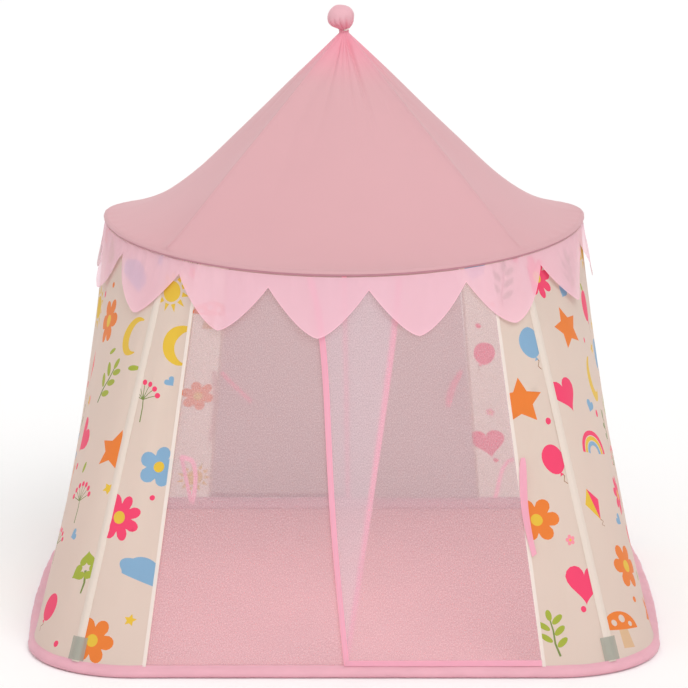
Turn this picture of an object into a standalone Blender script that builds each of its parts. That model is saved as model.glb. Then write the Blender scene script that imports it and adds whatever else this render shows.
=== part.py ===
"""Children's play tent with a pointed roof, printed walls and a mesh doorway at the front and back.

Four rods plug into a crown hub under the roof's knob. Four elbows at the eave join them to the wall
rods, which stand in the corners of the floor. A hoop in a sewn casing holds the eave round, and a
second hoop spreads the rounded square base. Each doorway has two mesh leaves that overlap.

Metres, +Z up. The front doorway faces -Y. The origin is on the ground, under the middle.
Angles round the tent start at the front and turn towards +X.
"""

import math

import bmesh
import bpy
from mathutils import Matrix, Vector

# Driving sizes
BASE_HALF_WIDTH = 0.655
BASE_HALF_DEPTH = 0.665
BASE_CORNER_RADIUS = 0.230
BASE_SIDE_BULGE = 0.020
EAVE_RADIUS = 0.513
EAVE_HEIGHT = 0.835
EAVE_DROOP = 0.041
PEAK_HEIGHT = 1.224
PEAK_RADIUS = 0.0095

# Cloth and the clearances between pieces
CLOTH = 0.0012
GAP = 0.0004
OVERRUN = 0.004

# Rods, hoops and their plastic fittings
ROD_RADIUS = 0.0035
ROD_FIT = 0.0004
SOCKET_RADIUS = 0.0064
SOCKET_LENGTH = 0.034
SOCKET_BLIND = 0.013
SOCKET_COLLAR = 0.0012
COLLAR_LENGTH = 0.005
ROOF_ROD_DEPTH = 0.0095
ELBOW_SETBACK = 0.0125
HUB_RADIUS = 0.0135
HUB_HEIGHT = 0.018
HUB_TOP_DROP = 0.013
HUB_SOCKET_LENGTH = 0.046
HUB_BLIND = 0.019
ARM_SPIN_ANGLE = math.radians(3.7)
SPIGOT_RADIUS = 0.0042
SPIGOT_RISE = 0.022
TIP_RADIUS = 0.0058
TIP_HEIGHT = 0.030
TIP_BASE = 0.006
FOOT_INSET = 0.050
HOOP_ROD_RADIUS = 0.0022
HOOP_JOINT_GAP = 0.001
FERRULE_LENGTH = 0.040
FERRULE_BORE_RADIUS = 0.0028
FERRULE_WALL = 0.0005

# Sewn casings round the two hoops
HOOP_CASING_RADIUS = 0.0055
HOOP_CHANNEL_RADIUS = 0.0039
HOOP_SLIT_HALF_ANGLE = math.radians(24)
BASE_HOOP_INSET = 0.011
BASE_HOOP_HEIGHT = 0.0068

# Wall cloth, ruled from the round eave to the rounded square foot
CORNER_ANGLE = math.radians(45)
CORNER_LEAD_ANGLE = math.radians(3.9)
WALL_TOP_INSET = 0.0025
WALL_TOP_RADIUS = EAVE_RADIUS - WALL_TOP_INSET
WALL_TOP_DROP = 0.0069
WALL_FOOT_INSET = 0.0135
WALL_FOOT_BULGE = 0.005
WALL_FOOT_HEIGHT = 0.0215
SIDE_SAG = 0.012
DOOR_SAG = 0.005

# Doorway leaves
FRONT_DOOR_HALF_ANGLE = math.radians(35)
BACK_DOOR_HALF_ANGLE = math.radians(30)
LEAF_TOP = 0.645
LEAF_FOOT = 0.032
OUTER_LIFT = 0.0022
INNER_LIFT = -0.0032
HEADER_DROP = 0.0006
HINGE_GAP = 0.0015
BINDING_WIDTH = 0.015
BINDING_THICKNESS = 0.0020
BINDING_PROUD = 0.0004
HEM_END = 0.005
HEM_RISE = 0.045

# Ties
TIE_TOP = 0.420
TIE_LENGTH = 0.230
TIE_WIDTH = 0.015
TIE_OFFSET = 0.004
TIE_LIFT = 0.0022
BACK_TIE_DROP = 0.058
LOOP_TOP = 0.425
LOOP_OFFSET = 0.010
LOOP_SPREAD = 0.034
LOOP_LENGTH = 0.100
LOOP_TAPE = 0.0075
LOOP_CLEAR = 0.0022

# Valance round the eave
SCALLOPS = 16
FIRST_CUSP_ANGLE = math.radians(5.5)
CUSP_DROP = 0.028
TIP_DROP = 0.121
VALANCE_LIFT = 0.0046
VALANCE_STANDOFF = 0.006
VALANCE_FLUTE = 0.004
VALANCE_CLOTH = 0.0010
VALANCE_DROP = 0.0006

# Corner patches
PATCH_WIDTH = 0.037
PATCH_HEIGHT = 0.046
PATCH_FOOT = 0.0225
PATCH_THICKNESS = 0.0008
PATCH_LIFT = 0.0018

# Roof knob and its tie
KNOB_HALF_WIDTH = 0.0290
KNOB_HALF_HEIGHT = 0.0265
KNOB_CENTRE_RISE = 0.0345
KNOB_LEAN = 0.0110
NECK_RADIUS = 0.0078
NECK_START = 0.0025
KNOB_HOLE_DEPTH = 0.0225
KNOB_TIE_RADIUS = 0.0018
KNOB_TIE_RISE = 0.0050
KNOB_TAIL = 0.020

# Shares and counts
EAVE_DROOP_POWER = 1.3
SCALLOP_POWER = 1.45
GORE_MIDDLE_SHARES = ((0.50, 0.60), (0.70, 0.995))
FREE_EDGE_SHARES = {
    "front": {"outer": (-0.24, 0.0), "inner": (0.38, 0.026)},
    "back": {"outer": (-0.035, -0.052), "inner": (0.020, -0.013)},
}
LOOP_OUTLINE_SHARES = ((0.0, 0.0), (0.72, -0.06), (1.0, -0.62), (0.66, -1.0), (0.30, -0.45))
LOOP_HOLE_SHARES = ((0.28, -0.13), (0.62, -0.16), (0.76, -0.62), (0.66, -0.78), (0.46, -0.42))
ARM_ROOT_SHARE = 0.45
KNOB_PLEATS = 12
KNOB_PLEAT_SHARE = 0.10
KNOB_ROWS = 9
FRONT_STEPS = 3
CORNER_STEPS = 7
SIDE_STEPS = 4
EAVE_STEPS = 64
OUTER_CASING_STEPS = 7
INNER_CASING_STEPS = 7
HALF_SHARE = 0.5
MERGE = 1e-6
PROBE = 1e-3

# Base casing: how far in from the outline, how much of the side bulge it has, and its height
CASING_SECTION = (
    (0.0380, 0.25, 0.0),
    (0.0040, 1.0, 0.0),
    (0.0, 1.0, 0.006),
    (0.0025, 1.0, 0.014),
    (0.0095, 0.70, 0.0208),
    (0.0165, 0.25, 0.0211),
    (0.0290, 0.25, 0.0165),
    (0.0380, 0.25, 0.0075),
    (0.0355, 0.25, 0.0072),
    (0.0278, 0.25, 0.0145),
    (0.0160, 0.25, 0.0187),
    (0.0105, 0.70, 0.0184),
    (0.0050, 1.0, 0.0128),
    (0.0026, 1.0, 0.0066),
    (0.0052, 1.0, 0.0024),
    (0.0380, 0.25, 0.0024),
)

FABRIC_PINK = (0.83, 0.52, 0.55)
DEEP_PINK = (0.62, 0.28, 0.34)
BINDING_PINK = (1.0, 0.42, 0.55)
SHEER_PINK = (0.90, 0.62, 0.70)
CREAM = (0.84, 0.76, 0.68)
MESH_WHITE = (0.80, 0.70, 0.72)
FLOOR_PINK = (0.80, 0.45, 0.50)
PATCH_GREY = (0.50, 0.52, 0.47)
PLASTIC_WHITE = (0.80, 0.80, 0.78)
FIBREGLASS = (0.75, 0.76, 0.74)
STEEL = (0.55, 0.55, 0.56)
RUBBER_GREY = (0.18, 0.18, 0.19)

HALF_TURN = Matrix.Rotation(math.pi, 4, "Z")


# Scene and object helpers


def clear_scene():
    for thing in list(bpy.data.objects):
        bpy.data.objects.remove(thing, do_unlink=True)


def new_collection(name):
    collection = bpy.data.collections.new(name)
    bpy.context.scene.collection.children.link(collection)
    return collection


def give_finish(thing, colour, roughness, metallic=0.0):
    """A material of the piece's own."""
    finish = bpy.data.materials.new(thing.name)
    finish.use_nodes = True
    shader = finish.node_tree.nodes["Principled BSDF"]
    shader.inputs["Base Color"].default_value = (*colour, 1.0)
    shader.inputs["Roughness"].default_value = roughness
    shader.inputs["Metallic"].default_value = metallic
    thing.data.materials.clear()
    thing.data.materials.append(finish)
    return thing


def add_object(name, data, collection):
    thing = bpy.data.objects.new(name, data)
    collection.objects.link(thing)
    return thing


def mesh_object(name, shape, collection, smooth=True):
    """Object from a bmesh, which is freed."""
    mesh = bpy.data.meshes.new(name)
    shape.to_mesh(mesh)
    shape.free()
    if smooth:
        mesh.shade_smooth()
        mesh.set_sharp_from_angle(angle=math.radians(35))
    return add_object(name, mesh, collection)


def grid_shape(columns, rows, place):
    """Grid whose points go where place(column, row) puts them, with points that meet made one."""
    shape = bmesh.new()
    bmesh.ops.create_grid(shape, x_segments=columns, y_segments=rows, size=HALF_SHARE)
    for vertex in shape.verts:
        column = round((vertex.co.x + HALF_SHARE) * columns)
        row = round((vertex.co.y + HALF_SHARE) * rows)
        vertex.co = place(column, row)
    bmesh.ops.remove_doubles(shape, verts=shape.verts, dist=MERGE)
    return shape


def sheet(name, columns, rows, place, thickness, collection):
    """Cloth: place(across, up) gives its inner face for shares 0 to 1, and it is thickened outward."""
    shape = grid_shape(columns, rows, lambda column, row: place(column / columns, row / rows))
    thing = mesh_object(name, shape, collection)
    solid = thing.modifiers.new("Thickness", "SOLIDIFY")
    solid.thickness = thickness
    solid.offset = 1.0
    return thing


def closed_ring(name, stations, sections, place, collection):
    """Body swept round a closed path: place(station, section) for whole numbers, both wrapping."""
    shape = grid_shape(
        stations, sections, lambda column, row: place(column % stations, row % sections)
    )
    bmesh.ops.recalc_face_normals(shape, faces=shape.faces)
    return mesh_object(name, shape, collection)


def wire(name, points, radius, collection, resolution=1):
    """Round wire or rod through these points, with filled ends."""
    curve = bpy.data.curves.new(name, "CURVE")
    curve.dimensions = "3D"
    curve.bevel_depth = radius
    curve.bevel_resolution = resolution
    curve.use_fill_caps = True
    spline = curve.splines.new("POLY")
    spline.points.add(len(points) - 1)
    for slot, point in zip(spline.points, points):
        slot.co = (*point, 1.0)
    return add_object(name, curve, collection)


def wire_as_mesh(source):
    """The wire as a mesh object of the same name, with its end caps welded on."""
    graph = bpy.context.evaluated_depsgraph_get()
    mesh = bpy.data.meshes.new_from_object(source.evaluated_get(graph))
    shape = bmesh.new()
    shape.from_mesh(mesh)
    bmesh.ops.remove_doubles(shape, verts=shape.verts, dist=MERGE)
    bmesh.ops.recalc_face_normals(shape, faces=shape.faces)
    shape.to_mesh(mesh)
    shape.free()
    name, home = source.name, source.users_collection[0]
    bpy.data.objects.remove(source, do_unlink=True)
    mesh.name = name
    return add_object(name, mesh, home)


def along(direction):
    """Rotation that turns +Z to this direction."""
    return direction.to_track_quat("Z", "Y").to_matrix().to_4x4()


def cylinder(name, start, end, radius, collection, sides=12, spin=0.0):
    """Closed cylinder between two points, with its sides turned about its axis by spin."""
    axis = end - start
    shape = bmesh.new()
    bmesh.ops.create_cone(
        shape,
        cap_ends=True,
        segments=sides,
        radius1=radius,
        radius2=radius,
        depth=axis.length,
        matrix=Matrix.Translation((start + end) / 2) @ along(axis) @ Matrix.Rotation(spin, 4, "Z"),
    )
    return mesh_object(name, shape, collection)


def turned(name, profile, steps, collection):
    """Profile of (radius, height) pairs turned about Z, listed down the outer side from the top."""
    shape = bmesh.new()
    points = [shape.verts.new((radius, 0.0, height)) for radius, height in profile]
    for first, second in zip(points, points[1:]):
        shape.edges.new((first, second))
    thing = mesh_object(name, shape, collection, smooth=False)
    screw = thing.modifiers.new("Turn", "SCREW")
    screw.steps = steps
    screw.render_steps = steps
    screw.use_merge_vertices = True
    screw.merge_threshold = MERGE
    return thing


def as_cutter(thing):
    thing.hide_render = True
    thing.display_type = "WIRE"
    return thing


def combine(thing, other, operation):
    """Boolean of this object with a helper, which is left out of the model."""
    as_cutter(other)
    modifier = thing.modifiers.new(other.name, "BOOLEAN")
    modifier.operation = operation
    modifier.solver = "EXACT"
    modifier.object = other


def pivot(name, point, collection, parent=None):
    """Empty on a joint's axis. Its place in the world is kept under "spot"."""
    empty = add_object(name, None, collection)
    empty.empty_display_size = OVERRUN
    empty["spot"] = tuple(point)
    empty.parent = parent
    empty.location = point - Vector(parent["spot"]) if parent else point
    return empty


def hang_on(thing, empty):
    """Puts the object's origin on the joint's empty, with its shape left where it is."""
    thing.data.transform(Matrix.Translation(-Vector(empty["spot"])) @ thing.matrix_basis)
    thing.matrix_basis = Matrix.Identity(4)
    thing.parent = empty


# Surfaces of the tent


def mix(first, second, share):
    return first + (second - first) * share


def outline(angle, inset, bulge):
    """(x, y) on the base outline, drawn in by inset, in this direction from the middle."""
    half_x = BASE_HALF_WIDTH - inset
    half_y = BASE_HALF_DEPTH - inset
    radius = BASE_CORNER_RADIUS - inset
    centre = Vector((half_x - radius, half_y - radius))
    ray = Vector((abs(math.sin(angle)), abs(math.cos(angle))))
    if half_x * ray.y <= centre.y * ray.x:
        x, y = half_x, half_x * ray.y / ray.x
        x += bulge * (1 - (y / centre.y) ** 2)
    elif half_y * ray.x <= centre.x * ray.y:
        x, y = half_y * ray.x / ray.y, half_y
    else:
        reach = ray.dot(centre)
        far = reach + math.sqrt(reach**2 - centre.length_squared + radius**2)
        x, y = far * ray.x, far * ray.y
    return math.copysign(x, math.sin(angle)), -math.copysign(y, math.cos(angle))


def outline_angles():
    """Directions for a full turn, closer together where the outline turns its corners."""
    centre_x = BASE_HALF_WIDTH - BASE_CORNER_RADIUS
    centre_y = BASE_HALF_DEPTH - BASE_CORNER_RADIUS
    quarter = []
    for step in range(FRONT_STEPS):
        quarter.append(math.atan2(centre_x * step / FRONT_STEPS, BASE_HALF_DEPTH))
    for step in range(CORNER_STEPS + 1):
        swing = math.pi / 2 * step / CORNER_STEPS
        x = centre_x + BASE_CORNER_RADIUS * math.sin(swing)
        y = centre_y + BASE_CORNER_RADIUS * math.cos(swing)
        quarter.append(math.atan2(x, y))
    for step in range(1, SIDE_STEPS):
        quarter.append(math.atan2(BASE_HALF_WIDTH, centre_y * (1 - step / SIDE_STEPS)))
    front_to_side = quarter + [math.pi / 2]
    half = front_to_side + [math.pi - angle for angle in reversed(front_to_side[:-1])]
    return half + [math.tau - angle for angle in reversed(half[1:-1])]


def eave_angles():
    """Directions for a full turn of the eave, none of them straight to the front or back."""
    return [math.tau * (step + HALF_SHARE) / EAVE_STEPS for step in range(EAVE_STEPS)]


def eave_point(angle, radius, rise):
    """Point by the eave, which droops at the front and back where the hoop is pulled down."""
    height = EAVE_HEIGHT - EAVE_DROOP * abs(math.cos(angle)) ** EAVE_DROOP_POWER
    return Vector((radius * math.sin(angle), -radius * math.cos(angle), height + rise))


def wall_foot(angle):
    """Foot of the wall's line that starts at this angle of the eave."""
    x, y = outline(angle - CORNER_LEAD_ANGLE * math.sin(2 * angle), WALL_FOOT_INSET, WALL_FOOT_BULGE)
    return Vector((x, y, WALL_FOOT_HEIGHT))


def wall_line(angle, fall):
    """Point on the ruled wall: fall is 0 at the eave and 1 at the foot."""
    return eave_point(angle, WALL_TOP_RADIUS, -WALL_TOP_DROP).lerp(wall_foot(angle), fall)


def wall_axes(angle, fall):
    """Unit directions across the wall, towards a larger angle, and out of it."""
    across = wall_line(angle + PROBE, fall) - wall_line(angle - PROBE, fall)
    down = wall_foot(angle) - wall_line(angle, 0.0)
    return across.normalized(), down.cross(across).normalized()


def fall_at(angle, height):
    top, foot = wall_line(angle, 0.0).z, wall_foot(angle).z
    return (top - height) / (top - foot)


def wall_point(angle, fall, lift, sag=0.0):
    """Point off the wall's surface by lift, or inside it by sag."""
    return wall_line(angle, fall) + wall_axes(angle, fall)[1] * (lift - sag)


def roof_point(angle, fall):
    """Point on the roof: fall is 0 at the peak and 1 at the eave. It sags between the four rods."""
    off = (angle + CORNER_ANGLE) % (2 * CORNER_ANGLE) - CORNER_ANGLE
    slack = 1 - math.cos(CORNER_ANGLE) / math.cos(off)
    slack /= 1 - math.cos(CORNER_ANGLE)
    eave = eave_point(angle, EAVE_RADIUS, HOOP_CASING_RADIUS + GAP)
    taut = Vector((mix(PEAK_RADIUS, EAVE_RADIUS, fall), mix(PEAK_HEIGHT, eave.z, fall)))
    knots = [(0.0, 0.0), *GORE_MIDDLE_SHARES, (1.0, 1.0)]
    weights = [math.comb(3, k) * fall**k * (1 - fall) ** (3 - k) for k in range(4)]
    out = sum(weight * knot[0] for weight, knot in zip(weights, knots))
    down = sum(weight * knot[1] for weight, knot in zip(weights, knots))
    loose = Vector((mix(PEAK_RADIUS, EAVE_RADIUS, out), mix(PEAK_HEIGHT, eave.z, down)))
    radius, height = taut.lerp(loose, slack)
    return Vector((radius * math.sin(angle), -radius * math.cos(angle), height))


def door_half_angle(door):
    return BACK_DOOR_HALF_ANGLE if door == "back" else FRONT_DOOR_HALF_ANGLE


def door_half_width(door, height):
    half = door_half_angle(door)
    return abs(wall_line(half, fall_at(half, height)).x)


def door_point(door, share, height, lift):
    """Point of a door's surface: share is -1 at its left edge and 1 at its right edge."""
    angle = share * door_half_angle(door)
    fall = fall_at(angle, height)
    sag = DOOR_SAG * math.cos(share * math.pi / 2) * math.sin(fall * math.pi)
    return wall_point(angle, fall, lift, sag)


# Frame: hub, rods, elbows and feet


def corner_angles():
    """The four rods' corners, by name."""
    return {
        "front_right": CORNER_ANGLE,
        "back_right": math.pi - CORNER_ANGLE,
        "back_left": math.pi + CORNER_ANGLE,
        "front_left": -CORNER_ANGLE,
    }


def rod_line(angle):
    """Start at the hub's axis, and the elbow's centre, of the roof rod under this ridge."""
    eave = roof_point(angle, 1.0)
    slope = (eave - roof_point(angle, 0.0)).normalized()
    level = Vector((math.cos(angle), math.sin(angle), 0.0))
    inward = level.cross(slope)
    inward *= -math.copysign(ROOF_ROD_DEPTH, inward.z)
    elbow = eave - slope * ELBOW_SETBACK + inward
    back = Vector((elbow.x, elbow.y, 0.0)).length / Vector((slope.x, slope.y, 0.0)).length
    return elbow - slope * back, elbow


def rod_foot(angle):
    """Where the wall rod's centre line meets the underside of its tip."""
    x, y = outline(angle - CORNER_LEAD_ANGLE * math.sin(2 * angle), FOOT_INSET, WALL_FOOT_BULGE)
    elbow = rod_line(angle)[1]
    level = Vector((x - elbow.x, y - elbow.y, 0.0)).length
    lean = level / math.hypot(level, elbow.z)
    return Vector((x, y, CLOTH + GAP + TIP_RADIUS * lean))


def make_hub(parts, cutters):
    middle = rod_line(CORNER_ANGLE)[0]
    top = middle.z - HUB_TOP_DROP + HUB_HEIGHT / 2
    collar = HUB_RADIUS - SOCKET_COLLAR
    profile = [
        (0.0, middle.z + SPIGOT_RISE),
        (SPIGOT_RADIUS, middle.z + SPIGOT_RISE),
        (SPIGOT_RADIUS, top),
        (collar, top),
        (HUB_RADIUS, top - SOCKET_COLLAR),
        (HUB_RADIUS, top - HUB_HEIGHT + SOCKET_COLLAR),
        (collar, top - HUB_HEIGHT),
        (0.0, top - HUB_HEIGHT),
    ]
    hub = turned("crown_hub", profile, 16, parts)
    for number, (name, angle) in enumerate(corner_angles().items()):
        start, elbow = rod_line(angle)
        way = (elbow - start).normalized()
        mouth = start + way * HUB_SOCKET_LENGTH
        root = start + way * HUB_RADIUS * ARM_ROOT_SHARE
        spin = ARM_SPIN_ANGLE * (number + 1)
        arm = cylinder("hub_arm_" + name, root, mouth, SOCKET_RADIUS, cutters, spin=spin)
        combine(hub, arm, "UNION")
        ring = cylinder(
            "hub_collar_" + name,
            mouth - way * COLLAR_LENGTH,
            mouth + way * GAP,
            SOCKET_RADIUS + SOCKET_COLLAR,
            cutters,
            spin=spin,
        )
        combine(hub, ring, "UNION")
        bore = cylinder(
            "hub_bore_" + name,
            start + way * HUB_BLIND,
            mouth + way * OVERRUN,
            ROD_RADIUS + ROD_FIT,
            cutters,
            spin=spin,
        )
        combine(hub, bore, "DIFFERENCE")
    return give_finish(hub, PLASTIC_WHITE, 0.4)


def make_elbow(name, angle, parts, cutters):
    """Bent two-way socket with a collar at each mouth."""
    start, elbow = rod_line(angle)
    ways = [(start - elbow).normalized(), (rod_foot(angle) - elbow).normalized()]
    bends = [elbow + way * SOCKET_BLIND for way in ways]
    path = [elbow + ways[0] * SOCKET_LENGTH]
    for share in (0.0, 0.25, 0.5, 0.75, 1.0):
        path.append(bends[0].lerp(elbow, share).lerp(elbow.lerp(bends[1], share), share))
    path.append(elbow + ways[1] * SOCKET_LENGTH)
    piece = wire_as_mesh(wire("eave_elbow_" + name, path, SOCKET_RADIUS, parts, resolution=2))
    for side, way in zip(("roof", "wall"), ways):
        mouth = elbow + way * SOCKET_LENGTH
        label = side + "_" + name
        ring = cylinder(
            "elbow_collar_" + label,
            mouth - way * COLLAR_LENGTH,
            mouth + way * GAP,
            SOCKET_RADIUS + SOCKET_COLLAR,
            cutters,
        )
        combine(piece, ring, "UNION")
        bore = cylinder(
            "elbow_bore_" + label,
            elbow + way * SOCKET_BLIND,
            mouth + way * OVERRUN,
            ROD_RADIUS + ROD_FIT,
            cutters,
        )
        combine(piece, bore, "DIFFERENCE")
    return give_finish(piece, PLASTIC_WHITE, 0.4)


def make_tip(name, angle, parts):
    """Cap on the wall rod's foot, turned about the rod's own line."""
    foot = rod_foot(angle)
    profile = [
        (ROD_RADIUS + ROD_FIT, TIP_HEIGHT),
        (TIP_RADIUS - SOCKET_COLLAR, TIP_HEIGHT),
        (TIP_RADIUS, TIP_BASE),
        (TIP_RADIUS, SOCKET_COLLAR),
        (TIP_RADIUS - SOCKET_COLLAR, 0.0),
        (0.0, 0.0),
    ]
    inside = [(0.0, TIP_BASE), (ROD_RADIUS + ROD_FIT, TIP_BASE), (ROD_RADIUS + ROD_FIT, TIP_HEIGHT)]
    tip = turned("foot_tip_" + name, profile + inside, 12, parts)
    way = rod_line(angle)[1] - foot
    tip.rotation_euler = along(way).to_euler()
    tip.location = foot
    return give_finish(tip, RUBBER_GREY, 0.8)


def make_rods(parts, cutters):
    for name, angle in corner_angles().items():
        start, elbow = rod_line(angle)
        foot = rod_foot(angle)
        out = (elbow - start).normalized()
        down = (foot - elbow).normalized()
        roof_ends = [start + out * (HUB_BLIND + GAP), elbow - out * (SOCKET_BLIND + GAP)]
        wall_ends = [elbow + down * (SOCKET_BLIND + GAP), foot - down * (TIP_BASE + GAP)]
        give_finish(wire("roof_rod_" + name, roof_ends, ROD_RADIUS, parts, 2), FIBREGLASS, 0.35)
        give_finish(wire("wall_rod_" + name, wall_ends, ROD_RADIUS, parts, 2), FIBREGLASS, 0.35)
        make_elbow(name, angle, parts, cutters)
        make_tip(name, angle, parts)


def make_ferrule(name, point, way, parts):
    """Metal sleeve over the joint of a hoop's two ends."""
    shape = bmesh.new()
    bmesh.ops.create_cone(
        shape,
        cap_ends=False,
        segments=10,
        radius1=FERRULE_BORE_RADIUS,
        radius2=FERRULE_BORE_RADIUS,
        depth=FERRULE_LENGTH,
        matrix=Matrix.Translation(point) @ along(way),
    )
    sleeve = mesh_object(name, shape, parts)
    wall = sleeve.modifiers.new("Wall", "SOLIDIFY")
    wall.thickness = FERRULE_WALL
    wall.offset = 1.0
    return give_finish(sleeve, STEEL, 0.35, 1.0)


def make_hoops(parts):
    """Both hoops are open fibreglass rods whose ends meet in a steel ferrule, at the back."""
    across = Vector((1.0, 0.0, 0.0))
    ring = [eave_point(angle, EAVE_RADIUS, 0.0) for angle in eave_angles()]
    ring = ring[len(ring) // 2 :] + ring[: len(ring) // 2]
    back = ring[0].lerp(ring[-1], HALF_SHARE)
    path = [back - across * HOOP_JOINT_GAP / 2, *ring, back + across * HOOP_JOINT_GAP / 2]
    give_finish(wire("eave_hoop", path, HOOP_ROD_RADIUS, parts), FIBREGLASS, 0.35)
    make_ferrule("eave_ferrule", back, across, parts)

    angles = outline_angles()
    middle = angles.index(math.pi)
    order = angles[middle + 1 :] + angles[:middle]

    def base_point(angle):
        return Vector((*outline(angle, BASE_HOOP_INSET, BASE_SIDE_BULGE), BASE_HOOP_HEIGHT))

    path = [base_point(angle) for angle in order]
    back = base_point(math.pi)
    back.x = 0.0
    path = [back - across * HOOP_JOINT_GAP / 2, *path, back + across * HOOP_JOINT_GAP / 2]
    give_finish(wire("base_hoop", path, HOOP_ROD_RADIUS, parts), FIBREGLASS, 0.35)
    make_ferrule("base_ferrule", back, across, parts)


# Sewn casings, floor and corner patches


def make_hoop_casing(parts):
    """Sleeve round the eave hoop, with its turned-in seam open along the inner side."""
    angles = eave_angles()
    half = math.pi - HOOP_SLIT_HALF_ANGLE
    outer, inner = OUTER_CASING_STEPS, INNER_CASING_STEPS
    ring = [(HOOP_CASING_RADIUS, mix(half, -half, step / outer)) for step in range(outer + 1)]
    ring += [(HOOP_CHANNEL_RADIUS, mix(-half, half, step / inner)) for step in range(inner + 1)]

    def place(station, section):
        radius, turn = ring[section]
        out = EAVE_RADIUS + radius * math.cos(turn)
        return eave_point(angles[station], out, radius * math.sin(turn))

    casing = closed_ring("hoop_casing", len(angles), len(ring), place, parts)
    return give_finish(casing, DEEP_PINK, 0.8)


def make_base_casing(parts):
    """Padded edge round the floor, folded over the base hoop and open along its inner side."""
    angles = outline_angles()

    def place(station, section):
        inset, share, height = CASING_SECTION[section]
        return Vector((*outline(angles[station], inset, share * BASE_SIDE_BULGE), height))

    casing = closed_ring("base_casing", len(angles), len(CASING_SECTION), place, parts)
    return give_finish(casing, BINDING_PINK, 0.7)


def make_floor(parts):
    inner = CASING_SECTION[0]
    curve = bpy.data.curves.new("floor_sheet", "CURVE")
    curve.dimensions = "2D"
    curve.fill_mode = "BOTH"
    curve.extrude = CLOTH / 2
    spline = curve.splines.new("POLY")
    spline.use_cyclic_u = True
    angles = outline_angles()
    spline.points.add(len(angles) - 1)
    for slot, angle in zip(spline.points, angles):
        x, y = outline(angle, inner[0] + GAP, inner[1] * BASE_SIDE_BULGE)
        slot.co = (x, y, 0.0, 1.0)
    floor = add_object("floor_sheet", curve, parts)
    floor.location.z = CLOTH / 2
    return give_finish(floor, FLOOR_PINK, 0.8)


def make_patches(parts):
    """Clear plastic patch outside each corner, over the wall rod's foot."""
    for name, corner in corner_angles().items():
        spread = (wall_line(corner + PROBE, 1.0) - wall_line(corner - PROBE, 1.0)).length
        per_metre = 2 * PROBE / spread

        def place(across, up):
            angle = corner + (across - HALF_SHARE) * PATCH_WIDTH * per_metre
            fall = fall_at(angle, PATCH_FOOT + up * PATCH_HEIGHT)
            return wall_point(angle, fall, PATCH_LIFT)

        patch = sheet("corner_patch_" + name, 5, 2, place, PATCH_THICKNESS, parts)
        give_finish(patch, PATCH_GREY, 0.3)


# Roof


def make_canopy(parts):
    """Four gores, each sewn along the rods on either side of it."""
    middles = {"front": 0.0, "right": math.pi / 2, "back": math.pi, "left": -math.pi / 2}
    for name, middle in middles.items():

        def place(across, up):
            fall = 1 - up
            reach = CORNER_ANGLE - GAP / mix(PEAK_RADIUS, EAVE_RADIUS, fall)
            return roof_point(middle + mix(-reach, reach, across), fall)

        gore = sheet("canopy_" + name, 8, 8, place, CLOTH, parts)
        give_finish(gore, FABRIC_PINK, 0.75)


def knob_profile():
    """(radius, height, pleat depth share) down the knob's outside, then up its hole."""
    centre = PEAK_HEIGHT + KNOB_CENTRE_RISE
    last = math.acos(-(KNOB_CENTRE_RISE - KNOB_TIE_RISE - 2 * KNOB_TIE_RADIUS) / KNOB_HALF_HEIGHT)
    rows = []
    for step in range(KNOB_ROWS + 1):
        swing = last * step / KNOB_ROWS
        pleat = max(0.0, (swing - math.pi / 2) / (last - math.pi / 2))
        radius = max(KNOB_HALF_WIDTH * math.sin(swing), 0.0)
        rows.append((radius, centre + KNOB_HALF_HEIGHT * math.cos(swing), pleat))
    neck_foot = PEAK_HEIGHT + NECK_START
    rows.append((NECK_RADIUS, centre + KNOB_HALF_HEIGHT * math.cos(last) - GAP, 0.0))
    rows.append((NECK_RADIUS, neck_foot, 0.0))
    hole = SPIGOT_RADIUS + GAP
    hole_end = neck_foot + KNOB_HOLE_DEPTH
    return rows + [(hole, neck_foot, 0.0), (hole, hole_end, 0.0), (0.0, hole_end, 0.0)]


def make_knob(parts):
    """Stuffed ball of roof cloth, gathered into pleats above its neck."""
    profile = knob_profile()
    columns = 2 * KNOB_PLEATS
    neck_top = profile[KNOB_ROWS + 1][1]
    full_rise = profile[0][1] - neck_top

    def place(column, row):
        radius, height, pleat = profile[len(profile) - 1 - row]
        turn = math.tau * (column % columns) / columns
        radius *= 1 - KNOB_PLEAT_SHARE * pleat * (column % 2)
        rise = (height - neck_top) / full_rise
        on_outside = row >= len(profile) - 1 - KNOB_ROWS
        lean = KNOB_LEAN * max(0.0, rise) if on_outside else 0.0
        return Vector((radius * math.sin(turn) - lean, -radius * math.cos(turn), height))

    shape = grid_shape(columns, len(profile) - 1, place)
    bmesh.ops.recalc_face_normals(shape, faces=shape.faces)
    return give_finish(mesh_object("top_knob", shape, parts), FABRIC_PINK, 0.75)


def make_knob_tie(parts):
    """Drawstring wound round the neck, with its cut end standing out."""
    radius = NECK_RADIUS + GAP + KNOB_TIE_RADIUS
    height = PEAK_HEIGHT + KNOB_TIE_RISE
    steps = 18
    points = []
    for step in range(steps + 1):
        turn = math.radians(-200) + math.radians(320) * step / steps
        points.append(Vector((radius * math.sin(turn), -radius * math.cos(turn), height)))
    way = (points[-1] - points[-2]).normalized()
    points.append(points[-1] + way * KNOB_TAIL / 3)
    points.append(points[-1] + (way * 2 + Vector((1.0, 0.0, 0.0))).normalized() * KNOB_TAIL * 2 / 3)
    return give_finish(wire("knob_tie", points, KNOB_TIE_RADIUS, parts), DEEP_PINK, 0.8)


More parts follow.
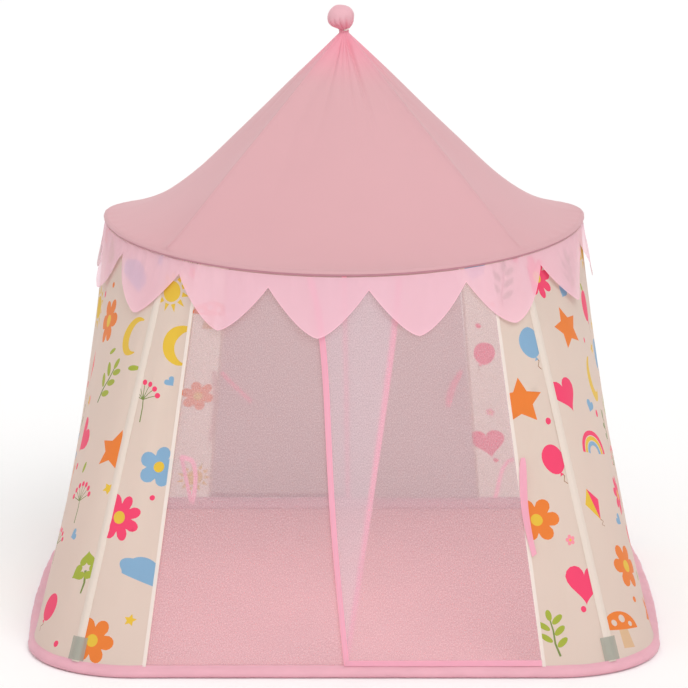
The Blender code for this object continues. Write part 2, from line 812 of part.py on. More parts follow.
def make_valance(parts):
    """Sheer scalloped frill below the eave. It lies over the wall and flutes at each scallop."""
    columns, rows = SCALLOPS * 6, 3

    def place(across, up):
        angle = FIRST_CUSP_ANGLE + math.tau * across
        phase = (across * SCALLOPS) % 1.0
        depth = mix(CUSP_DROP, TIP_DROP, 1 - abs(2 * phase - 1) ** SCALLOP_POWER)
        low = 1 - up
        height = wall_line(angle, 0.0).z - VALANCE_DROP - depth * low
        flute = VALANCE_FLUTE * (1 - math.cos(math.tau * phase)) / 2
        lift = VALANCE_LIFT + (VALANCE_STANDOFF + flute) * low
        return wall_point(angle, fall_at(angle, height), lift)

    frill = sheet("valance", columns, rows, place, VALANCE_CLOTH, parts)
    return give_finish(frill, SHEER_PINK, 0.7)


# Walls and doorways


def make_side_walls(parts):
    for name, middle in (("right", math.pi / 2), ("left", -math.pi / 2)):

        def place(across, up):
            fall = 1 - up
            radius = mix(WALL_TOP_RADIUS, BASE_HALF_WIDTH, fall)
            reach = CORNER_ANGLE - GAP / radius
            sag = SIDE_SAG * math.sin(across * math.pi) * math.sin(fall * math.pi)
            return wall_point(middle + mix(-reach, reach, across), fall, 0.0, sag)

        give_finish(sheet(name + "_wall", 14, 7, place, CLOTH, parts), CREAM, 0.8)


def make_corner_panels(door, turn, parts):
    """Printed panel on each side of the doorway, out to the corner."""
    for name, side in (("right", 1), ("left", -1)):

        def place(across, up):
            fall = 1 - up
            slip = GAP / mix(WALL_TOP_RADIUS, BASE_HALF_WIDTH, fall)
            ends = sorted((side * (door_half_angle(door) + slip), side * (CORNER_ANGLE - slip)))
            return turn @ wall_point(mix(ends[0], ends[1], across), fall, 0.0)

        panel = sheet(door + "_" + name + "_panel", 4, 7, place, CLOTH, parts)
        give_finish(panel, CREAM, 0.8)


def free_edge(door, layer, height):
    """Share across the door of a leaf's free edge at this height."""
    top, foot = FREE_EDGE_SHARES[door][layer]
    eave = wall_line(0.0, 0.0).z
    return mix(top, foot, (eave - height) / (eave - LEAF_FOOT))


def leaf_ends(door, layer, side, height, bound=True):
    """Left and right shares of a leaf's mesh, which stops at its binding when it has one."""
    width = door_half_width(door, height)
    hinge = side * (1 - HINGE_GAP / width)
    free = free_edge(door, layer, height)
    if bound:
        free += side * (BINDING_WIDTH + GAP) / width
    return sorted((hinge, free))


def door_sheet(kind, door, turn, layer, span, parts, bound=True):
    """Mesh sheet of a leaf or header, between the low and high edges that span(share) gives."""
    side, lift = (1, OUTER_LIFT) if layer == "outer" else (-1, INNER_LIFT)

    def place(across, up):
        low, high = span(across if side < 0 else 1 - across)
        height = mix(low, high, up)
        left, right = leaf_ends(door, layer, side, height, bound)
        spot = mix(left, right, across)
        eave = wall_line(spot * door_half_angle(door), 0.0).z
        return turn @ door_point(door, spot, min(height, eave - HEADER_DROP), lift)

    rows = 2 if high_only(span) else 6
    name = door + "_" + layer + "_" + kind
    return give_finish(sheet(name, 7, rows, place, CLOTH, parts), MESH_WHITE, 0.85)


def high_only(span):
    """True for a strip short enough to need few rows."""
    low, high = span(0.0)
    return high - low < LEAF_TOP / 2


def make_binding(door, turn, layer, foot, parts):
    """Tape sewn over a leaf's free edge."""
    side, lift = (1, OUTER_LIFT) if layer == "outer" else (-1, INNER_LIFT)

    def place(across, up):
        height = mix(foot, LEAF_TOP, up)
        free = free_edge(door, layer, height)
        inner = free + side * BINDING_WIDTH / door_half_width(door, height)
        left, right = sorted((free, inner))
        return turn @ door_point(door, mix(left, right, across), height, lift - BINDING_PROUD)

    name = door + "_" + layer + "_binding"
    return give_finish(sheet(name, 1, 6, place, BINDING_THICKNESS, parts), BINDING_PINK, 0.6)


def hem_line(share):
    """Height where the inner leaf's soft hem starts, from its hinge (0) to its free edge (1)."""
    return LEAF_FOOT + HEM_END + HEM_RISE * share


def hinge_line(door, side, turn):
    """Foot and head of a leaf's sewn edge, which is its hinge."""
    lift = (OUTER_LIFT if side > 0 else INNER_LIFT) + CLOTH / 2
    share = side * (1 - HINGE_GAP / door_half_width(door, LEAF_FOOT))
    ends = [door_point(door, share, height, lift) for height in (LEAF_FOOT, LEAF_TOP)]
    return [turn @ end for end in ends]


def tie_drop(door):
    """How much lower this door's ties are sewn than the front ones."""
    return BACK_TIE_DROP if door == "back" else 0.0


def make_outer_tie(door, turn, parts):
    """Strap that hangs outside, beside the outer leaf's hinge, to hold the rolled leaf."""
    head = TIE_TOP - tie_drop(door)
    half = door_half_angle(door)

    def place(across, up):
        fall = fall_at(half, head - TIE_LENGTH * (1 - up))
        beside, out = wall_axes(half, fall)
        edge = wall_line(half, fall)
        return turn @ (edge + beside * (TIE_OFFSET + across * TIE_WIDTH) + out * TIE_LIFT)

    strap = sheet(door + "_outer_tie", 1, 6, place, CLOTH, parts)
    give_finish(strap, BINDING_PINK, 0.6)
    top = place(HALF_SHARE, 1.0)
    hinge = pivot(door + "_outer_tie_pivot", top, parts)
    hang_on(strap, hinge)
    across = (place(1.0, 1.0) - place(0.0, 1.0)).normalized()
    return top, across


def make_inner_tie(door, turn, leaf_pivot, parts):
    """Loop of narrow tape that hangs inside from the inner leaf, by its hinge."""
    head = LOOP_TOP - tie_drop(door)
    share = -1 + LOOP_OFFSET / door_half_width(door, head)
    top = turn @ door_point(door, share, head, INNER_LIFT - LOOP_CLEAR)
    curve = bpy.data.curves.new(door + "_inner_tie", "CURVE")
    curve.dimensions = "2D"
    curve.fill_mode = "BOTH"
    curve.extrude = CLOTH / 2
    for shares in (LOOP_OUTLINE_SHARES, LOOP_HOLE_SHARES):
        spline = curve.splines.new("POLY")
        spline.use_cyclic_u = True
        spline.points.add(len(shares) - 1)
        for slot, (right, rise) in zip(spline.points, shares):
            slot.co = (right * LOOP_SPREAD, rise * LOOP_LENGTH, 0.0, 1.0)
    loop = add_object(door + "_inner_tie", curve, parts)
    upright = Matrix.Rotation(math.pi / 2, 4, "X")
    loop.matrix_basis = Matrix.Translation(top) @ turn.to_3x3().to_4x4() @ upright
    give_finish(loop, BINDING_PINK, 0.6)
    hinge = pivot(door + "_inner_tie_pivot", top, parts, leaf_pivot)
    turned_curve = loop.matrix_basis.to_euler()
    loop.parent = hinge
    loop.location = (0.0, 0.0, 0.0)
    loop.rotation_euler = turned_curve
    return top, turn @ Vector((1.0, 0.0, 0.0))


def make_door(door, turn, parts):
    """One doorway: headers, leaves, bindings and ties. Returns its joints' points and axes."""
    make_corner_panels(door, turn, parts)
    joints = {}
    for layer, side in (("outer", 1), ("inner", -1)):
        label = door + "_" + layer
        foot_line = hem_line if layer == "inner" else lambda share: LEAF_FOOT

        def header_span(share):
            return LEAF_TOP + GAP, EAVE_HEIGHT

        def leaf_span(share):
            return foot_line(share), LEAF_TOP

        def hem_span(share):
            return LEAF_FOOT, hem_line(share) - GAP

        door_sheet("header", door, turn, layer, header_span, parts, False)
        leaf = door_sheet("leaf", door, turn, layer, leaf_span, parts)
        binding = make_binding(door, turn, layer, foot_line(1.0), parts)
        foot, head = hinge_line(door, side, turn)
        hinge = pivot(label + "_leaf_hinge", foot, parts)
        hang_on(leaf, hinge)
        hang_on(binding, hinge)
        joints[label + "_leaf"] = (foot, (head - foot).normalized())
        if layer == "inner":
            hang_on(door_sheet("hem", door, turn, layer, hem_span, parts, False), hinge)
            joints[label + "_tie"] = make_inner_tie(door, turn, hinge, parts)
    joints[door + "_outer_tie"] = make_outer_tie(door, turn, parts)
    return joints


def main():
    clear_scene()
    parts = new_collection("play_tent")
    cutters = new_collection("play_tent_cutters")
    make_hub(parts, cutters)
    make_rods(parts, cutters)
    make_hoops(parts)
    make_hoop_casing(parts)
    make_base_casing(parts)
    make_floor(parts)
    make_canopy(parts)
    make_knob(parts)
    make_knob_tie(parts)
    make_side_walls(parts)
    make_patches(parts)
    make_valance(parts)
    joints = make_door("front", Matrix.Identity(4), parts)
    joints.update(make_door("back", HALF_TURN, parts))
    for name, (point, axis) in joints.items():
        print("joint", name, [round(v, 5) for v in point], [round(v, 5) for v in axis])


main()
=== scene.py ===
import random
from math import atan2, comb, copysign, cos, exp, hypot, pi, radians, sin, sqrt, tau

import bpy
from mathutils import Matrix, Vector, noise
from mathutils.geometry import delaunay_2d_cdt


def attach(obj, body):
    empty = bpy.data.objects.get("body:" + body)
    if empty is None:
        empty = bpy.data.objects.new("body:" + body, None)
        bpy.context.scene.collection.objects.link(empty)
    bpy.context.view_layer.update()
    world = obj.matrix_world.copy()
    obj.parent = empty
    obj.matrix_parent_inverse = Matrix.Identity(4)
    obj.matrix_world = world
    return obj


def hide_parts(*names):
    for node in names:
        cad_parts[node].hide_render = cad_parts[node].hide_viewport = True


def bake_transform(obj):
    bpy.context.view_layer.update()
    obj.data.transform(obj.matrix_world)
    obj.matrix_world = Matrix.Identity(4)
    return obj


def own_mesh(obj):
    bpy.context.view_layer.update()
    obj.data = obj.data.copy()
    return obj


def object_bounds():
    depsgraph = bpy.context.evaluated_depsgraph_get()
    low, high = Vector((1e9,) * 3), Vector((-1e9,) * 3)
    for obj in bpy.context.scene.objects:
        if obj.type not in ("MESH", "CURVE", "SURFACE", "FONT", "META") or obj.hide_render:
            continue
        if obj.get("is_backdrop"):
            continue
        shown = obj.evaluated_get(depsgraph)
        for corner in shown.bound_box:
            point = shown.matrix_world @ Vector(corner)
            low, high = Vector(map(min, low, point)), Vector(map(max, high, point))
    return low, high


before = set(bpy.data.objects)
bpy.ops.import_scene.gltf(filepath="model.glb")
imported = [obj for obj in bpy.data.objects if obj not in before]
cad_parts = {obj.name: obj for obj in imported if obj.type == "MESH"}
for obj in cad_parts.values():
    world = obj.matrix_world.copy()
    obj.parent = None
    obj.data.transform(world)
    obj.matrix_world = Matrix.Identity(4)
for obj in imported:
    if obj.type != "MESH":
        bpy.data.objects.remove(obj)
CAD_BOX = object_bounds()

# The tent's surfaces, as in the CAD source. Lengths are in metres, and angle 0 is at the front.
BASE_HALF_WIDTH = 0.655
BASE_HALF_DEPTH = 0.665
BASE_CORNER_RADIUS = 0.230
BASE_SIDE_BULGE = 0.020
EAVE_RADIUS = 0.513
EAVE_HEIGHT = 0.835
EAVE_DROOP = 0.041
EAVE_DROOP_POWER = 1.3
PEAK_HEIGHT = 1.224
PEAK_RADIUS = 0.0095
ROOF_RISE = 0.0059
CORNER = radians(45)
CORNER_LEAD = radians(3.9)
WALL_TOP_RADIUS = 0.5105
WALL_TOP_DROP = 0.0069
WALL_FOOT_INSET = 0.0135
WALL_FOOT_BULGE = 0.005
WALL_FOOT_HEIGHT = 0.0215
SIDE_SAG = 0.012
DOOR_SAG = 0.005
DOOR_HALVES = {"front": radians(35), "back": radians(30)}
LEAF_FOOT = 0.0225
OUTER_LIFT = 0.0028
INNER_LIFT = -0.0026
HEM_END = 0.005
HEM_RISE = 0.060
GORE_MIDDLE = ((0.50, 0.60), (0.70, 0.995))
BINDING_WIDTH = 0.0125
# A leaf's bound edge: its share across the door at the top and the foot, and its bow
FREE_EDGES = {
    "front": {"outer": (-0.24, 0.0, 0.55), "inner": (0.38, 0.026, 0.10)},
    "back": {"outer": (-0.035, -0.052, 0.10), "inner": (0.020, -0.013, 0.10)},
}

# The roof cloth's valleys at the peak: how many there are round it, how far they reach, their phase
PEAK_GATHERS = ((9, 0.10, 0.4), (14, 0.20, 2.1), (5, 0.34, 1.2))
GATHER_DEPTH = 0.0050
PEAK_FOLD_ANGLE = 0.35
PEAK_FOLD_WIDTH = 0.0046
PEAK_FOLD_DEPTH = 0.0072
ROOF_LIFT = 0.0012
ROOF_DRIFT = 0.0030
ROOF_EDGE_SHARE = 0.08
EAVE_TURN_RADIUS = 0.0060
PIPING_RADIUS = 0.0052
SEAM_HALF_WIDTH = 0.0039

KNOB_CENTRE = Vector((0.0, 0.0, PEAK_HEIGHT + 0.0345))
KNOB_RADIUS = 0.0285
KNOB_HALF_HEIGHT = 0.0262
KNOB_NECK_RADIUS = 0.0094
KNOB_NECK_DROP = 0.0290
KNOB_LEAN = 0.0072
NECK_VALLEY = 0.0022
NECK_RADII = (0.0142, 0.0098)
NECK_HEIGHTS = (1.2170, 1.2335)
CORD_RADIUS = 0.0011
CORD_HEIGHT = 1.2275

SCALLOPS = 16
SCALLOP_COLUMNS = 24
SCALLOP_DEPTHS = (0.026, 0.121)
VALANCE_START = radians(5.5)
VALANCE_HEM = 0.0030

# The print's rows and motifs
ROW_PITCH = 0.128
MOTIF_PITCH = 0.15
BIG_SIZES = (0.040, 0.050)
SMALL_SIZES = (0.011, 0.016)
SIDE_MESH_PITCH = 0.022
PANEL_MESH_PITCH = 0.016

WALL_LIFT = 0.0008
SLEEVE_HALF_WIDTH = 0.0100
DOOR_TAPE_EDGES = (-0.0004, 0.0072)

# The leaves and ties: the heights between which a leaf would bend, though no bend is made, and the places
# of the ties
BEND_TOP = 0.655
BEND_FOOT = 0.30
NET_TUCK = 0.003
OUTER_HEM_WIDTH = 0.011
TIE_DROPS = {"front": 0.0, "back": 0.058}
OUTER_TIE_HEAD = 0.420
OUTER_TIE_LENGTH = 0.190
INNER_TIE_HEAD = 0.425
INNER_TIE_SIZE = (0.034, 0.100)
# The tail's path in millimetres, and the loop's in hundredths of its size
TAIL_PATHS = {
    "front": ((0, 0), (-12, -6), (-22, -22), (-28, -45), (-31, -64), (-36, -84)),
    "back": ((0, 0), (-16, -18), (-32, -34), (-47, -48), (-60, -61), (-72, -72)),
}
LOOP_PATHS = {
    "front": (
        (0, 0), (30, -3), (62, -7), (80, -16), (90, -40), (84, -66), (76, -86),
        (66, -97), (56, -88), (44, -66), (30, -42), (12, -10), (3, -1),
    ),
    "back": (
        (0, 0), (22, -8), (46, -20), (70, -36), (92, -56), (100, -74), (96, -88),
        (84, -84), (72, -64), (52, -42), (32, -26), (14, -13), (2, -2),
    ),
}

# The cloth's own sizes: a corner panel's width and area, a net's width, area and hem length, and
# the width and area of an inner leaf's soft hem
PANEL_SIZES = {"front": (0.24, 0.10), "back": (0.34, 0.145)}
NET_SIZES = {"front": (0.50, 0.30, 0.45), "back": (0.42, 0.23, 0.38)}
HEM_SIZES = {"front": (0.40, 0.014), "back": (0.34, 0.012)}

# The base edge's section: inset, share of the side's bulge and height of each point
BASE_SECTION = (
    (0.0380, 0.25, 0.0012), (0.0200, 0.6, 0.0006), (0.0060, 1.0, 0.0008), (0.0012, 1.0, 0.0034),
    (0.0000, 1.0, 0.0080), (0.0012, 1.0, 0.0128), (0.0046, 0.9, 0.0172), (0.0090, 0.60, 0.0200),
    (0.0116, 0.25, 0.0210), (0.0124, 0.25, 0.0238), (0.0148, 0.25, 0.0242), (0.0156, 0.25, 0.0212),
    (0.0235, 0.25, 0.0192), (0.0300, 0.25, 0.0158), (0.0355, 0.25, 0.0108), (0.0385, 0.25, 0.0050),
)
BASE_SEAM = range(7, 13)
BASE_PUCKERED = range(3, 14)
BASE_PUCKER_PITCH = 0.0105
FLOOR_INSET = 0.0370
PATCH_HALF_WIDTH = 0.0185
PATCH_HEIGHTS = (0.0240, 0.0680)

PROBE = 1e-3
SHELL = "shell"
TURNS = {"front": Matrix.Identity(4), "back": Matrix.Rotation(pi, 4, "Z")}


def mix(first, second, share):
    return first + (second - first) * share


def smooth(share):
    share = max(0.0, min(1.0, share))
    return share * share * (3 - 2 * share)


def arch(share):
    return sin(pi * share)


def hump(*offsets):
    """1 where all the offsets are 0, and soon 0 away from there."""
    return exp(-sum(offset**2 for offset in offsets))


def wobble(x, y, z=0.0):
    """Smooth noise between about -1 and 1."""
    return noise.noise(Vector((x, y, z)))


def round_point(angle, radius, height):
    return Vector((radius * sin(angle), -radius * cos(angle), height))


def outline(angle, inset, bulge):
    half_x = BASE_HALF_WIDTH - inset
    half_y = BASE_HALF_DEPTH - inset
    radius = BASE_CORNER_RADIUS - inset
    centre = Vector((half_x - radius, half_y - radius))
    ray = Vector((abs(sin(angle)), abs(cos(angle))))
    if half_x * ray.y <= centre.y * ray.x:
        x, y = half_x, half_x * ray.y / ray.x
        x += bulge * (1 - (y / centre.y) ** 2)
    elif half_y * ray.x <= centre.x * ray.y:
        x, y = half_y * ray.x / ray.y, half_y
    else:
        reach = ray.dot(centre)
        far = reach + sqrt(reach**2 - centre.length_squared + radius**2)
        x, y = far * ray.x, far * ray.y
    return copysign(x, sin(angle)), -copysign(y, cos(angle))


def eave_point(angle, radius, rise):
    height = EAVE_HEIGHT - EAVE_DROOP * abs(cos(angle)) ** EAVE_DROOP_POWER
    return round_point(angle, radius, height + rise)


def wall_foot(angle):
    x, y = outline(angle - CORNER_LEAD * sin(2 * angle), WALL_FOOT_INSET, WALL_FOOT_BULGE)
    return Vector((x, y, WALL_FOOT_HEIGHT))


def wall_line(angle, fall):
    return eave_point(angle, WALL_TOP_RADIUS, -WALL_TOP_DROP).lerp(wall_foot(angle), fall)


def wall_axes(angle, fall):
    across = wall_line(angle + PROBE, fall) - wall_line(angle - PROBE, fall)
    down = wall_foot(angle) - wall_line(angle, 0.0)
    return across.normalized(), down.cross(across).normalized()


def fall_at(angle, height):
    top, foot = wall_line(angle, 0.0).z, wall_foot(angle).z
    return (top - height) / (top - foot)


def wall_point(angle, fall, lift):
    return wall_line(angle, fall) + wall_axes(angle, fall)[1] * lift


def roof_point(angle, fall):
    off = (angle + CORNER) % (2 * CORNER) - CORNER
    slack = (1 - cos(CORNER) / cos(off)) / (1 - cos(CORNER))
    eave = eave_point(angle, EAVE_RADIUS, ROOF_RISE)

    def line(out, down):
        return Vector((mix(PEAK_RADIUS, EAVE_RADIUS, out), mix(PEAK_HEIGHT, eave.z, down)))

    knots = [(0.0, 0.0), *GORE_MIDDLE, (1.0, 1.0)]
    weights = [comb(3, k) * fall**k * (1 - fall) ** (3 - k) for k in range(4)]
    out = sum(weight * knot[0] for weight, knot in zip(weights, knots))
    down = sum(weight * knot[1] for weight, knot in zip(weights, knots))
    radius, height = line(fall, fall).lerp(line(out, down), slack)
    return round_point(angle, radius, height)


def door_half_width(door, height):
    half = DOOR_HALVES[door]
    return abs(wall_line(half, fall_at(half, height)).x)


def door_point(door, share, height, lift):
    angle = share * DOOR_HALVES[door]
    fall = fall_at(angle, height)
    sag = DOOR_SAG * cos(share * pi / 2) * sin(fall * pi)
    return wall_point(angle, fall, lift - sag)


def free_edge(door, layer, height):
    """Share across the door of a leaf's bound edge, which hangs in a slight bow."""
    top, foot, bow = FREE_EDGES[door][layer]
    eave = wall_line(0.0, 0.0).z
    fall = min(max((eave - height) / (eave - LEAF_FOOT), 0.0), 1.0)
    return mix(top, foot, fall) + bow * fall * (1 - fall) ** 4


# Materials


def new_material(name):
    material = bpy.data.materials.new(name)
    material.use_nodes = True
    material.node_tree.nodes.clear()
    return material, material.node_tree


def feed(tree, node, inputs):
    """Gives each input its number or colour, or links it to another node's output."""
    for key, value in dict(inputs).items():
        if isinstance(value, bpy.types.NodeSocket):
            tree.links.new(value, node.inputs[key])
        else:
            node.inputs[key].default_value = value


def add(tree, kind, output=0, inputs=(), **settings):
    """New node, by its kind's short name. Returns the output that is asked for."""
    node = tree.nodes.new("ShaderNode" + kind)
    for key, value in settings.items():
        setattr(node, key, value)
    feed(tree, node, inputs)
    return node.outputs[output]


def speckle(tree, where, scale, detail):
    return add(tree, "TexNoise", "Fac", {"Vector": where, "Scale": scale, "Detail": detail})


def blended(tree, share, first, second):
    """Second shader over the first, in a share that is a number or an output."""
    return add(tree, "MixShader", 0, {"Fac": share, 1: first, 2: second})


def principled(tree, colour, tint, inputs):
    """Surface of a plain colour, which the tint varies."""
    shader = tree.nodes.new("ShaderNodeBsdfPrincipled")
    feed(tree, shader, {"Base Color": (*colour, 1.0), **inputs})
    feed(tree, shader, {"Base Color": tint})
    return shader.outputs[0]


def show(tree, surface, kind="ShaderNodeOutputMaterial"):
    feed(tree, tree.nodes.new(kind), {"Surface": surface})


def tone(tree, where, colour, scale, spread):
    """Colour that drifts a little lighter and darker over the surface."""
    darker = [c * (1 - spread) for c in colour]
    lighter = [min(1.0, c * (1 + spread)) for c in colour]
    inputs = {"Factor": speckle(tree, where, scale, 3.0), "A": (*darker, 1.0), "B": (*lighter, 1.0)}
    return add(tree, "Mix", "Result", inputs, data_type="RGBA")


def risen(tree, where, tint, low, high, colour):
    """The tint, turned to another colour between two heights."""
    height = add(tree, "SeparateXYZ", "Z", {0: where})
    ends = {"Value": height, "From Min": low, "From Max": high}
    share = add(tree, "MapRange", "Result", ends, interpolation_type="SMOOTHSTEP")
    return add(tree, "Mix", "Result", {"Factor": share, "A": tint, "B": (*colour, 1.0)}, data_type="RGBA")


def cloth_material(name, colour, through, roughness, clear=0.0, rise=None, drift=(3.5, 0.035)):
    """Woven cloth: light comes through it, and clear is the share that is seen straight through."""
    material, tree = new_material(name)
    where = add(tree, "TexCoord", "Object")
    tint = tone(tree, where, colour, *drift)
    if rise:
        tint = risen(tree, where, tint, *rise)
    weave = {"Strength": 0.15, "Distance": 0.0004, "Height": speckle(tree, where, 900.0, 2.0)}
    gloss = {"Roughness": roughness, "Sheen Weight": 0.15, "Specular IOR Level": 0.3}
    front = principled(tree, colour, tint, {**gloss, "Normal": add(tree, "Bump", "Normal", weave)})
    surface = blended(tree, through, front, add(tree, "BsdfTranslucent", 0, {"Color": tint}))
    if clear:
        surface = blended(tree, clear, surface, add(tree, "BsdfTransparent"))
    show(tree, surface)
    return material


def net_material(name, colour, hole, grain):
    """Fine net, mostly even to look through, with the grain of its threads on the cloth's own metres."""
    material, tree = new_material(name)
    uneven = speckle(tree, add(tree, "UVMap", uv_map="cloth"), 330.0, 1.5)
    uneven = add(tree, "Math", 0, {0: uneven, 1: grain}, operation="MULTIPLY")
    open_share = add(tree, "Math", 0, {0: uneven, 1: hole - grain / 2}, operation="ADD")
    tint = tone(tree, add(tree, "TexCoord", "Object"), colour, 2.5, 0.05)
    front = principled(tree, colour, tint, {"Roughness": 0.8, "Sheen Weight": 0.1})
    thread = blended(tree, 0.12, front, add(tree, "BsdfTranslucent", 0, {"Color": (*colour, 1.0)}))
    show(tree, blended(tree, open_share, thread, add(tree, "BsdfTransparent")))
    return material


def hard_material(name, colour, roughness, metallic=0.0):
    material, tree = new_material(name)
    tint = tone(tree, add(tree, "TexCoord", "Object"), colour, 60.0, 0.05)
    show(tree, principled(tree, colour, tint, {"Roughness": roughness, "Metallic": metallic}))
    return material


PEAK_PINK = (0.88, 0.34, 0.43)
SHEER_PINK = (1.0, 0.61, 0.715)
MATERIALS = {
    "roof": cloth_material("roof_cloth", (0.71, 0.406, 0.435), 0.10, 0.62, rise=(1.110, 1.225, PEAK_PINK)),
    # Painted light and shade on the knob: its neck and the lower half of its ball are darker pink, as
    # painted shade under the gathers, and its upper half is lighter, as painted light on top.
    "knob": cloth_material("knob_cloth", PEAK_PINK, 0.15, 0.62, rise=(1.232, 1.262, (0.86, 0.50, 0.56))),
    "hoop": cloth_material("hoop_tape", (0.55, 0.26, 0.31), 0.0, 0.7),
    "sheer": cloth_material("sheer_cloth", SHEER_PINK, 0.12, 0.6, clear=0.29),
    "sheer_hem": cloth_material("sheer_hem_cloth", SHEER_PINK, 0.12, 0.6, clear=0.22),
    "wall": cloth_material("wall_cloth", (0.787, 0.70, 0.608), 0.32, 0.8),
    "sleeve": cloth_material("sleeve_cloth", (0.80, 0.70, 0.62), 0.12, 0.8),
    "trim": cloth_material("trim_cloth", (0.90, 0.81, 0.75), 0.2, 0.7),
    "tape": cloth_material("tape_cloth", (0.90, 0.43, 0.55), 0.2, 0.5),
    "tape_inside": cloth_material("tape_inside_cloth", (1.0, 0.37, 0.50), 0.2, 0.5),
    "edge": cloth_material("edge_cloth", (0.86, 0.46, 0.54), 0.15, 0.6, drift=(16.0, 0.10)),
    # The floor cloth's tone drifts twice as far as the other cloths': partly its own uneven tone, partly
    # painted shade and light standing in for that of its soft folds.
    "floor": cloth_material("floor_cloth", (0.93, 0.41, 0.45), 0.0, 0.65, drift=(4.5, 0.07)),
    "net_front": net_material("door_net_front", (0.81, 0.69, 0.75), 0.60, 0.55),
    # The back door's net is painted far darker than the front's and made nearly solid: painted shade, for
    # the tent's dim inside seen through the front doorway.
    "net_back": net_material("door_net_back", (0.54, 0.34, 0.31), 0.10, 0.2),
    "film": cloth_material("patch_film", (0.46, 0.48, 0.42), 0.3, 0.3, clear=0.25),
    "plastic": hard_material("fitting_plastic", (0.78, 0.78, 0.76), 0.4),
    "rod": hard_material("rod_fibreglass", (0.70, 0.71, 0.70), 0.35),
    "rubber": hard_material("foot_rubber", (0.03, 0.03, 0.032), 0.8),
    "steel": hard_material("ferrule_steel", (0.55, 0.55, 0.56), 0.3, 1.0),
}
PRINT_COLOURS = {
    "rose": (0.90, 0.065, 0.17),
    "blush": (0.93, 0.32, 0.40),
    "sun": (0.80, 0.55, 0.055),
    "sky": (0.24, 0.44, 0.64),
    "leaf": (0.38, 0.46, 0.055),
    "moss": (0.20, 0.28, 0.07),
    "tangerine": (0.83, 0.23, 0.04),
    "bark": (0.35, 0.16, 0.05),
    "tan": (0.72, 0.50, 0.30),
}
for key, colour in PRINT_COLOURS.items():
    MATERIALS[key] = cloth_material("print_" + key, colour, 0.20, 0.8)
# What the faces of a printed cloth are made of: the bare cloth, or a colour of the print
PRINT_KEYS = ["wall", *PRINT_COLOURS]

# Mesh builders


def linked(name, data):
    thing = bpy.data.objects.new(name, data)
    bpy.context.scene.collection.objects.link(thing)
    return thing


def meshed(name, points, faces, *materials):
    mesh = bpy.data.meshes.new(name)
    mesh.from_pydata(points, [], faces)
    for key in materials:
        mesh.materials.append(MATERIALS[key])
    mesh.shade_smooth()
    return linked(name, mesh)


def grid(columns, rows, wide, tall):
    """Faces between wide x tall points, which close on themselves where there are no more than faces."""
    faces = []
    for row in range(rows):
        for column in range(columns):
            a, b = row * wide + column, row * wide + (column + 1) % wide
            step = ((row + 1) % tall - row) * wide
            faces.append((a, b, b + step, a + step))
    return faces


def cloth(name, columns, rows, place, material, size, loop=False):
    """Sheet whose points are place(across, up) for shares 0 to 1. size is the cloth's in metres."""
    wide = columns if loop else columns + 1
    points = [place(c / columns, r / rows) for r in range(rows + 1) for c in range(wide)]
    thing = meshed(name, points, grid(columns, rows, wide, rows + 1), material)
    spots = thing.data.uv_layers.new(name="cloth").data
    corners = ((0, 0), (1, 0), (1, 1), (0, 1))
    for face in range(columns * rows):
        r, c = divmod(face, columns)
        for k, (i, j) in enumerate(corners):
            spots[4 * face + k].uv = ((c + i) / columns * size[0], (r + j) / rows * size[1])
    return thing


def ring(name, stations, sections, place, material):
    """Body closed both ways round: place(angle, section) for the numbers of its sections."""
    points = [place(tau * i / stations, k) for i in range(stations) for k in range(sections)]
    faces = [(a, d, c, b) for a, b, c, d in grid(sections, stations, sections, stations)]
    return meshed(name, points, faces, material)


def tube(name, path, radius, material):
    """Round cord along a path, closed at its ends."""
    sides = 8
    points = []
    normal = (path[1] - path[0]).normalized().orthogonal()
    for k, middle in enumerate(path):
        way = (path[min(k + 1, len(path) - 1)] - path[max(k - 1, 0)]).normalized()
        normal = (normal - way * normal.dot(way)).normalized()
        other = way.cross(normal)
        for j in range(sides):
            turn = tau * j / sides
            points.append(middle + (normal * cos(turn) + other * sin(turn)) * radius)
    last = len(path) - 1
    faces = grid(sides, last, sides, len(path))
    faces.append(tuple(reversed(range(sides))))
    faces.append(tuple(range(last * sides, len(path) * sides)))
    return meshed(name, points, faces, material)


def fitted(thing, slot, *nodes, body=SHELL):
    """Puts a piece on its body, in place of any CAD nodes that it stands for. The slot is not used."""
    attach(thing, body)
    if nodes:
        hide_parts(*nodes)


# Roof


def eave_pucker(angle):
    return sin(angle * 70 + 2 * wobble(angle * 4, 0.0))


def roof_look(angle, fall):
    """Roof cloth with valleys that run down from the gathered peak, and puckers along the hoop."""
    point = roof_point(angle, fall)
    step = 0.004
    across = roof_point(angle + step, fall) - roof_point(angle - step, fall)
    down = roof_point(angle, min(1.0, fall + step)) - roof_point(angle, max(0.0, fall - step))
    out = down.cross(across).normalized()
    radius = hypot(point.x, point.y)
    off_rod = (CORNER - abs((angle + CORNER) % (2 * CORNER) - CORNER)) * radius
    gather = 0.0
    for count, reach, phase in PEAK_GATHERS:
        ridge = 1 - abs(sin(angle * count / 2 + phase + 0.8 * wobble(angle * 1.5, fall * 3)))
        gather += ridge**3 * exp(-fall / reach)
    valleys = GATHER_DEPTH * gather * smooth(fall / 0.03) * smooth((off_rod - 0.008) / 0.012)
    fold = hump((angle - PEAK_FOLD_ANGLE) * radius / PEAK_FOLD_WIDTH, fall / 0.2)
    fold *= PEAK_FOLD_DEPTH * smooth(fall / 0.02)
    drift = ROOF_DRIFT * wobble(point.x * 6, point.y * 6, point.z * 4) * arch(fall)
    pucker = 0.0012 * eave_pucker(angle) * exp((fall - 1) / 0.035)
    elbow = 0.0045 * hump(off_rod / 0.011, (1 - fall) / 0.05)
    return point + out * (
        ROOF_LIFT - valleys - fold + drift + (pucker + elbow) * smooth((1 - fall) / 0.01)
    )


